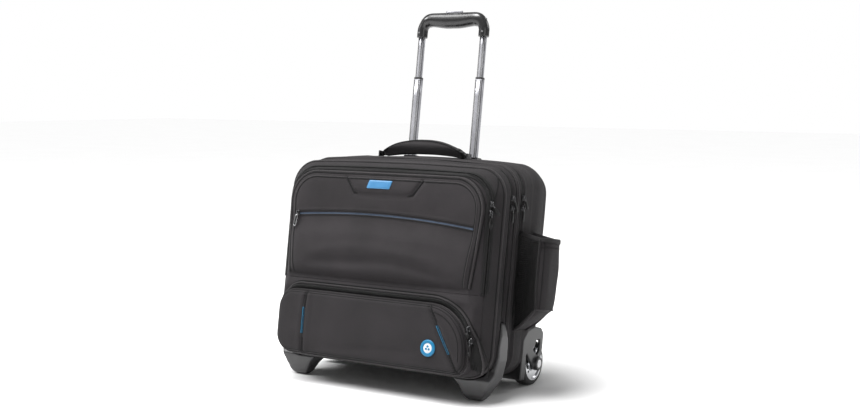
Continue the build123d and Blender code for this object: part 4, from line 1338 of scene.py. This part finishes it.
# moulded parts with softened edges, copied from the fixed parts
def softened(node, name, voxel, rounds, material):
    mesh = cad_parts[node].data.copy()
    work = bmesh.new()
    work.from_mesh(mesh)
    bmesh.ops.remove_doubles(work, verts=work.verts, dist=1e-6)
    work.to_mesh(mesh)
    work.free()
    mesh.materials.clear()
    mesh.materials.append(material)
    piece = bpy.data.objects.new(name, mesh)
    bpy.context.scene.collection.objects.link(piece)
    addRemesh(piece, voxel)
    relax = piece.modifiers.new("relax", "SMOOTH")
    relax.factor, relax.iterations = 0.5, rounds
    bake(piece)
    piece.data.materials.clear()
    piece.data.materials.append(material)
    return piece


soften = {"foot": ("frontFoot", 1.5, 9, satinGrey), "wheel_housing": ("wheelHousing", 1.2, 8, shadedHousingMoulding)}
softPieces = {}
for side in ("left", "right"):
    for kind, (title, *values) in soften.items():
        softPieces[kind + "_" + side] = softened(kind + "_" + side, title + side.title(), *values)
print("moulded parts softened")

# drawn tubes of the trolley, with a dark track of painted groove shade down both front corners
stages = {"middle": {"size": (13.2, 12.6), "from": 155.0, "to": 505.0},
          "inner": {"size": (10.4, 10.0), "from": 250.0, "to": 595.0}}
tubeShape = {"wall": 1.1, "corner": 2.4, "track": 2.4, "trackDepth": 0.7}


def roundedRect(width, depth, radius, steps=5):
    points = []
    for cx, cy, start in ((1, 1, 0), (-1, 1, 90), (-1, -1, 180), (1, -1, 270)):
        for angle in np.radians(np.linspace(start, start + 90, steps)):
            points.append((cx * (width / 2 - radius) + radius * math.cos(angle),
                           cy * (depth / 2 - radius) + radius * math.sin(angle)))
    return np.array(points)


def atHeight(profile, x, depth, height):
    # a profile over x and depth, set at a height
    return np.column_stack([profile + (x, depth), np.full(len(profile), height)])


def trolleyTubes(name, stage):
    (width, depth), s = stage["size"], tubeShape
    track, deep, wall = s["track"], s["trackDepth"], s["wall"]
    outer = roundedRect(width, depth, s["corner"])
    inner = roundedRect(width - 2 * wall, depth - 2 * wall, s["corner"] - wall)
    heights = np.linspace(stage["from"], stage["to"], 12)
    parts = []
    for side in (-1, 1):
        x, y = side * tubes["half"], tubes["depth"]
        rows = [atHeight(outer, x, y, h) for h in heights]
        rows += [atHeight(inner, x, y, h) for h in heights[::-1]]
        rows.append(rows[0])
        parts.append(makePiece("tube", [(np.array(rows), True)], anodised, closed=True))
        front = y - depth / 2
        for edge in (-1, 1):
            # one face of the track looks forward and one to the side
            for px, py, *size in ((x + edge * (width / 2 - 2.3), front + 0.25, track, deep),
                                  (x + edge * (width / 2 - 0.25), front + 2.6, deep, track)):
                profile = roundedRect(*size, 0.3, 3)
                rings = [atHeight(profile, px, py, h) for h in (stage["from"] + 4, stage["to"] - 1.5)]
                parts.append(makePiece("track", [(capped(rings), True)], grooveShade, closed=True))
    return joinPieces(name, parts)


middleStage = trolleyTubes("middleStageTubes", stages["middle"])
innerStage = trolleyTubes("innerStageTubes", stages["inner"])
print("trolley tubes made")

gripShape = {"low": 581.0, "elbow": 592.0, "bend": 21.0, "bar": 613.0, "leg": (9.5, 9.7),
             "middle": (14.3, 12.4), "shoulder": 12.4, "sag": 1.9, "well": (18.2, 6.2, 608.0, 640.0)}


def trolleyGrip():
    # one swept bar: up a leg, round the shoulder, across and down the other leg
    g = gripShape
    reach, depth = tubes["half"], tubes["depth"]
    inner = reach - g["bend"]
    left = [(-reach, w) for w in np.linspace(g["low"], g["elbow"], 6, endpoint=False)]
    left += arcPoints(-inner, g["elbow"], g["bend"], 180, 90, 16)
    across = [(x, g["bar"]) for x in np.linspace(-inner, 0, 22)[1:]]
    half = np.array(left + across)
    path = np.concatenate([half, half[-2::-1] * (-1, 1)])
    span = np.abs(path[:, 0])
    middle = smooth((48 - span) / 40)
    onLeg = smooth((span - 50) / 13)
    radius = g["shoulder"] + (g["middle"][0] - g["shoulder"]) * middle - (g["shoulder"] - g["leg"][0]) * onLeg
    deep = g["middle"][1] - (g["middle"][1] - g["leg"][1]) * onLeg
    line = np.column_stack([path[:, 0], np.full(len(path), depth), path[:, 1] - g["sag"] * middle])
    squeeze = (deep / radius)[:, None, None]
    bar = tubeAlong("trolleyGrip", line, radius, satinBlack, sides=36, squeeze=squeeze)
    # an oval well for the release button
    turn = np.linspace(0, 2 * math.pi, 48, endpoint=False)
    wide, narrow, floor, above = g["well"]
    oval = np.column_stack([wide * np.cos(turn), narrow * np.sin(turn)])
    rings = [atHeight(oval * s, 0.0, depth, w)
             for w, s in ((floor, 0.0), (floor, 1.0), (above, 1.0), (above, 0.0))]
    return cutWith(bar, [makePiece("buttonWell", [(np.array(rings), True)], satinBlack, closed=True)])


gripPiece = trolleyGrip()

# zip sliders and pullers, each drawn in its own frame: hanging is -y, away from the bag is +z
gussetTurn = math.radians(34.8)


def sideFrame(depth, height, x=212.3):
    return np.array([(0, 1, 0), (0, 0, 1), (1, 0, 0)], float), np.array((x, depth, height), float)


def frontFrame(depth, x, height):
    return np.array([(1, 0, 0), (0, 0, 1), (0, -1, 0)], float), np.array((x, depth, height), float)


def gussetFrame(height):
    normal = (math.cos(gussetTurn), -math.sin(gussetTurn), 0)
    along = (math.sin(gussetTurn), math.cos(gussetTurn), 0)
    origin = np.array((198.4 + 1.6 * normal[0], -18.2 + 1.6 * normal[1], height))
    return np.array([along, (0, 0, 1), normal]), origin


# frame, length of the puller, its lean and its kind
sliderPlaces = {
    "zip1_upper": (gussetFrame(279), 22.0, 36.0, "tab"),
    "zip1_lower": (gussetFrame(264), 24.0, 0.0, "loop"),
    "zip2_upper": (sideFrame(seams["zip2"], 292), 26.0, 36.0, "tab"),
    "zip2_lower": (sideFrame(seams["zip2"], 276), 24.0, 0.0, "tab"),
    "zip3_upper": (sideFrame(seams["zip3"], 296), 22.0, 36.0, "tab"),
    "zip3_lower": (sideFrame(seams["zip3"], 280), 24.0, 0.0, "tab"),
    "pocket_zip_upper": (frontFrame(-32.6, 184.5, 79), 14.0, 0.0, "loop"),
    "pocket_zip_lower": (frontFrame(-32.6, 190.5, 60), 24.0, 0.0, "loop"),
    "front_zip": (frontFrame(-32.4, -172, 242.6), 24.0, 0.0, "frame")}
sliderShape = {"width": 7.0, "length": 9.0, "plate": 1.1, "pin": 4.1}


def fromLocal(frameOf, points):
    axes, origin = frameOf
    return np.asarray(points, float) @ axes + origin


def localBlock(frameOf, centre, size, material, turn=0.0, taper=1.0, corner=0.35):
    # a block with rounded corners seen from above and eased top and bottom edges
    wide, tall, thick = size
    profile = roundedRect(wide, tall, min(wide, tall) * corner, 5)
    rows, half = [], thick / 2
    for z, share in ((-half, 0.0), (-half, 0.9), (-half * 0.7, 1.0), (half * 0.7, 1.0), (half, 0.88),
                     (half, 0.0)):
        ring = profile * share
        ring = ring * np.column_stack([1 + (taper - 1) * (ring[:, 1] / tall + 0.5), np.ones(len(ring))])
        rows.append(np.column_stack([ring + np.asarray(centre[:2]), np.full(len(ring), centre[2] + z)]))
    return makePiece("block", [(fromLocal(frameOf, turned(rows, turn)), True)], material, closed=True)


def localRod(frameOf, path, radius, material, sides=8, loop=False):
    line = fromLocal(frameOf, path)
    return tubeAlong("rod", line, radius, material, loop=loop, sides=sides, up=frameOf[0][0])


def turned(points, turn):
    points = np.array(points, float)
    angle = math.radians(turn)
    x, y = points[..., 0].copy(), points[..., 1].copy()
    points[..., 0] = x * math.cos(angle) - y * math.sin(angle)
    points[..., 1] = x * math.sin(angle) + y * math.cos(angle)
    return points


def sliderPiece(name, frameOf):
    wide, tall, plate, pin = (sliderShape[k] for k in ("width", "length", "plate", "pin"))
    arch = [(0, -3.4, 2.2), (0, -3.0, 3.6), (0, -1.6, pin + 1.4), (0, 0, pin + 1.9), (0, 1.6, pin + 1.4),
            (0, 3.0, 3.6), (0, 3.4, 2.2)]
    parts = [localBlock(frameOf, (0, 0, plate / 2), (wide, tall, plate), blackNickel, taper=0.8),
             localBlock(frameOf, (0, 0, 1.95), (wide - 0.4, tall - 0.4, plate), blackNickel, taper=0.78),
             localBlock(frameOf, (0, 2.2, 1.3), (1.8, 3.4, 1.4), blackNickel),
             localRod(frameOf, arch, 0.75, blackNickel)]
    return joinPieces(name, parts)


def pullerPiece(name, frameOf, length, lean, kind):
    pin = sliderShape["pin"]
    bright = blackNickel if kind != "frame" else brightSteel
    angle = np.linspace(0, 2 * math.pi, 20, endpoint=False)
    eye = np.column_stack([1.5 * np.cos(angle), -1.9 + 2.3 * np.sin(angle), np.full(20, pin)])
    parts = [localRod(frameOf, eye, 0.55, bright, 6, True)]
    if kind == "frame":
        tall, lean = length - 5.0, -8
        middle = -3.6 - tall / 2
        loop = atHeight(roundedRect(4.6, tall, 1.9, 6), 0.0, middle, pin)
        parts.append(localRod(frameOf, turned(loop, lean), 0.6, bright, 8, True))
        parts.append(localBlock(frameOf, (0, middle, pin), (3.4, tall - 1.4, 0.8), blackNickel, lean))
        return joinPieces(name, parts)
    parts.append(localBlock(frameOf, (0, -5.4, pin), (2.6, 5.0, 1.2), blackNickel, lean))
    if kind == "loop":
        half = (length - 6.4) / 2
        t = np.linspace(0, 2 * math.pi, 40, endpoint=False)
        width = 2.0 - 0.9 * np.sin(t)
        ring = np.column_stack([width * np.cos(t), -6.8 - half + half * np.sin(t), np.full(40, pin)])
        parts.append(localRod(frameOf, turned(ring, lean), 1.0, webbing, 8, True))
        end = (0, -length + 4.2, pin)
        parts.append(localBlock(frameOf, end, (4.6, 5.6, 3.0), tabRubber, lean, corner=0.45))
    else:
        tall = length - 7.0
        middle = (0, -7.0 - tall / 2, pin)
        parts.append(localBlock(frameOf, middle, (5.2, tall, 2.0), tabRubber, lean, taper=0.72))
        for k in range(4):
            rib = (0, -9.6 - k * (tall - 6) / 3.4, pin + 1.0)
            parts.append(localBlock(frameOf, rib, (3.6, 1.1, 0.9), tabRubber, lean))
    return joinPieces(name, parts)


slidePieces = {}
for name, (frameOf, *values) in sliderPlaces.items():
    slidePieces[name + "_slider"] = sliderPiece(name + "_sliderBody", frameOf)
    slidePieces[name + "_puller"] = pullerPiece(name + "_pullTab", frameOf, *values)
print("sliders made")

# finishes of the fixed parts that stay as they are
nodeFinish = (
    (boardPlastic, ("back_board", "base_plate", "tube_bracket")),
    (anodised, ("outer_tubes", "release_button")), (glossBlack, ("collars",)),
    (blackNickel, ("handle_tabs",)), (tyreRubber, ("tyre_left", "tyre_right")),
    (chrome, ("hub_left", "hub_right")), (satinGrey, ("middle_tube_caps", "inner_tube_plugs")),
    (brightSteel, ("base_screws", "wheel_axles", "bearings_left", "bearings_right", "grip_screws",
                   "pushrods", "lock_pins")))
for finish, names in nodeFinish:
    for name in names:
        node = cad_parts[name]
        node.data.materials.clear()
        node.data.materials.append(finish)

# what rides on each body: piece, slot, the CAD node that it stands for, and its fill if padded
rides = {
    "rear_section": [
        (rearPiece, "body_fabric", "rear_shell", 0.5), (zip3Back, "zip_tape", "zip3_tape"),
        (bottlePiece, "pocket_mesh", "bottle_pocket"),
        *[(softPieces[kind + side], "moulded_plastic", kind + side)
          for kind in ("foot_", "wheel_housing_") for side in ("left", "right")]],
    "document_section": [
        (documentRing, "body_fabric", "middle_shell"), (documentBack, "body_fabric"),
        (middlePiping, "body_fabric"), (middlePipingBack, "body_fabric"),
        (zip2Back, "zip_tape", "zip2_tape"), (zip3Front, "zip_tape")],
    "organiser_section": [
        (organiserRing, "body_fabric", "front_shell"), (organiserBack, "body_fabric"),
        (lowerFront, "body_fabric"), (outerPiping, "body_fabric"), (zip2Front, "zip_tape"),
        (zip1Back, "zip_tape", "zip1_tape"), (pocketZipPiece, "zip_tape", "pocket_zip_tape")],
    "front_panel": [
        (frontPanel, "body_fabric", "front_flap", 0.6), (frontPiping, "body_fabric"),
        (yokePiece, "body_fabric"), (archedZip, "blue_zip", "blue_zip_tape"),
        (labelPiece, "label_blue", "label"), (zip1Front, "zip_tape")],
    "pocket_front": [
        (pocketPiece, "body_fabric", "lower_pocket_front", 0.5), (pocketSeamPiece, "body_fabric"),
        (badgePiece, "badge_blue", "badge"), (insertPieces, "accent_blue", "accents")],
    "carry_handle": [(carryPad, "body_fabric", "carry_handle", 0.8), (carryTrim, "body_fabric")],
    "trolley_inner": [(gripPiece, "gloss_black", "grip"), (innerStage, "tube_metal", "inner_tubes")],
    "trolley_middle": [(middleStage, "tube_metal", "middle_tubes")],
}
rides.update({name: [(piece, "zip_metal", name)] for name, piece in slidePieces.items()})
for body, pieces in rides.items():
    for piece, slotName, *standsFor in pieces:
        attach(piece, body)
        if standsFor:
            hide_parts(standsFor[0])
print("pieces ride on their bodies")

# camera, floor and lights
camera = {"place": (1.1113, -1.7827, 0.4979), "ahead": (-0.5242, 0.8466, -0.0924), "roll": 0.35,
          "lens": 51.49}


def addCamera():
    ahead = Vector(camera["ahead"]).normalized()
    right = ahead.cross(Vector((0, 0, 1))).normalized()
    up = right.cross(ahead)
    roll = math.radians(camera["roll"])
    turnedRight = right * math.cos(roll) + up * math.sin(roll)
    turnedUp = up * math.cos(roll) - right * math.sin(roll)
    data = bpy.data.cameras.new("studioCamera")
    data.lens, data.sensor_width = camera["lens"], 36.0
    made = bpy.data.objects.new("studioCamera", data)
    made.matrix_world = Matrix.Translation(camera["place"]) @ Matrix(
        (turnedRight, turnedUp, -ahead)).transposed().to_4x4()
    bpy.context.scene.collection.objects.link(made)
    bpy.context.scene.camera = made


addCamera()


def addFloor():
    half = 14.0
    mesh = bpy.data.meshes.new("studioFloor")
    corners = [(-half, -half, 0), (half, -half, 0), (half, half, 0), (-half, half, 0)]
    mesh.from_pydata(corners, [], [(0, 1, 2, 3)])
    material, tree, shader = newMaterial("paleFloor")
    cloud = noiseNode(tree, addNode(tree, "ShaderNodeTexCoord").outputs["Object"], 3.0, 2.0)
    tree.links.new(rampNode(tree, cloud, [(0.0, (0.86, 0.86, 0.86)), (1.0, (0.9, 0.9, 0.9))]),
                   shader.inputs["Base Color"])
    shader.inputs["Roughness"].default_value = 0.7
    mesh.materials.append(material)
    floor = bpy.data.objects.new("studioFloor", mesh)
    bpy.context.scene.collection.objects.link(floor)


addFloor()
# name, place, size in metres and power of the soft lamps
lamps = (
    ("keyLamp", (-2.4, -1.3, 2.3), 1.3, 58.0),
    ("fillLamp", (2.3, -1.5, 1.1), 1.4, 7.0),
    ("topLamp", (-0.2, -0.3, 2.6), 1.2, 40.0),
    ("rimLamp", (1.6, 2.0, 1.7), 1.2, 14.0),
)
skylight = {"from": (-0.3, -0.35, 1.0), "power": 3.3, "angle": 40.0, "ambient": 0.24}
lampTarget = Vector((0, 0, 0.28))


def addLamp(name, kind, power, heading, at=(0, 0, 0)):
    data = bpy.data.lights.new(name, kind)
    data.energy = power
    lamp = bpy.data.objects.new(name, data)
    lamp.location = at
    lamp.rotation_euler = heading.to_track_quat("-Z", "Y").to_euler()
    bpy.context.scene.collection.objects.link(lamp)
    return data


def addLights():
    for name, at, size, power in lamps:
        data = addLamp(name, "AREA", power, lampTarget - Vector(at), at)
        data.shape, data.size = "DISK", size
    data = addLamp("skylight", "SUN", skylight["power"], -Vector(skylight["from"]))
    data.angle = math.radians(skylight["angle"])
    world = bpy.data.worlds.new("studioWorld")
    world.use_nodes = True
    background = world.node_tree.nodes["Background"]
    background.inputs["Color"].default_value = (1.0, 1.0, 1.0, 1)
    seen = addNode(world.node_tree, "ShaderNodeLightPath").outputs["Is Camera Ray"]
    strength = rangeNode(world.node_tree, seen, skylight["ambient"], 1.0)
    world.node_tree.links.new(strength, background.inputs["Strength"])
    bpy.context.scene.world = world
    bpy.context.scene.view_settings.view_transform = "Standard"


addLights()
print("camera and lights set")
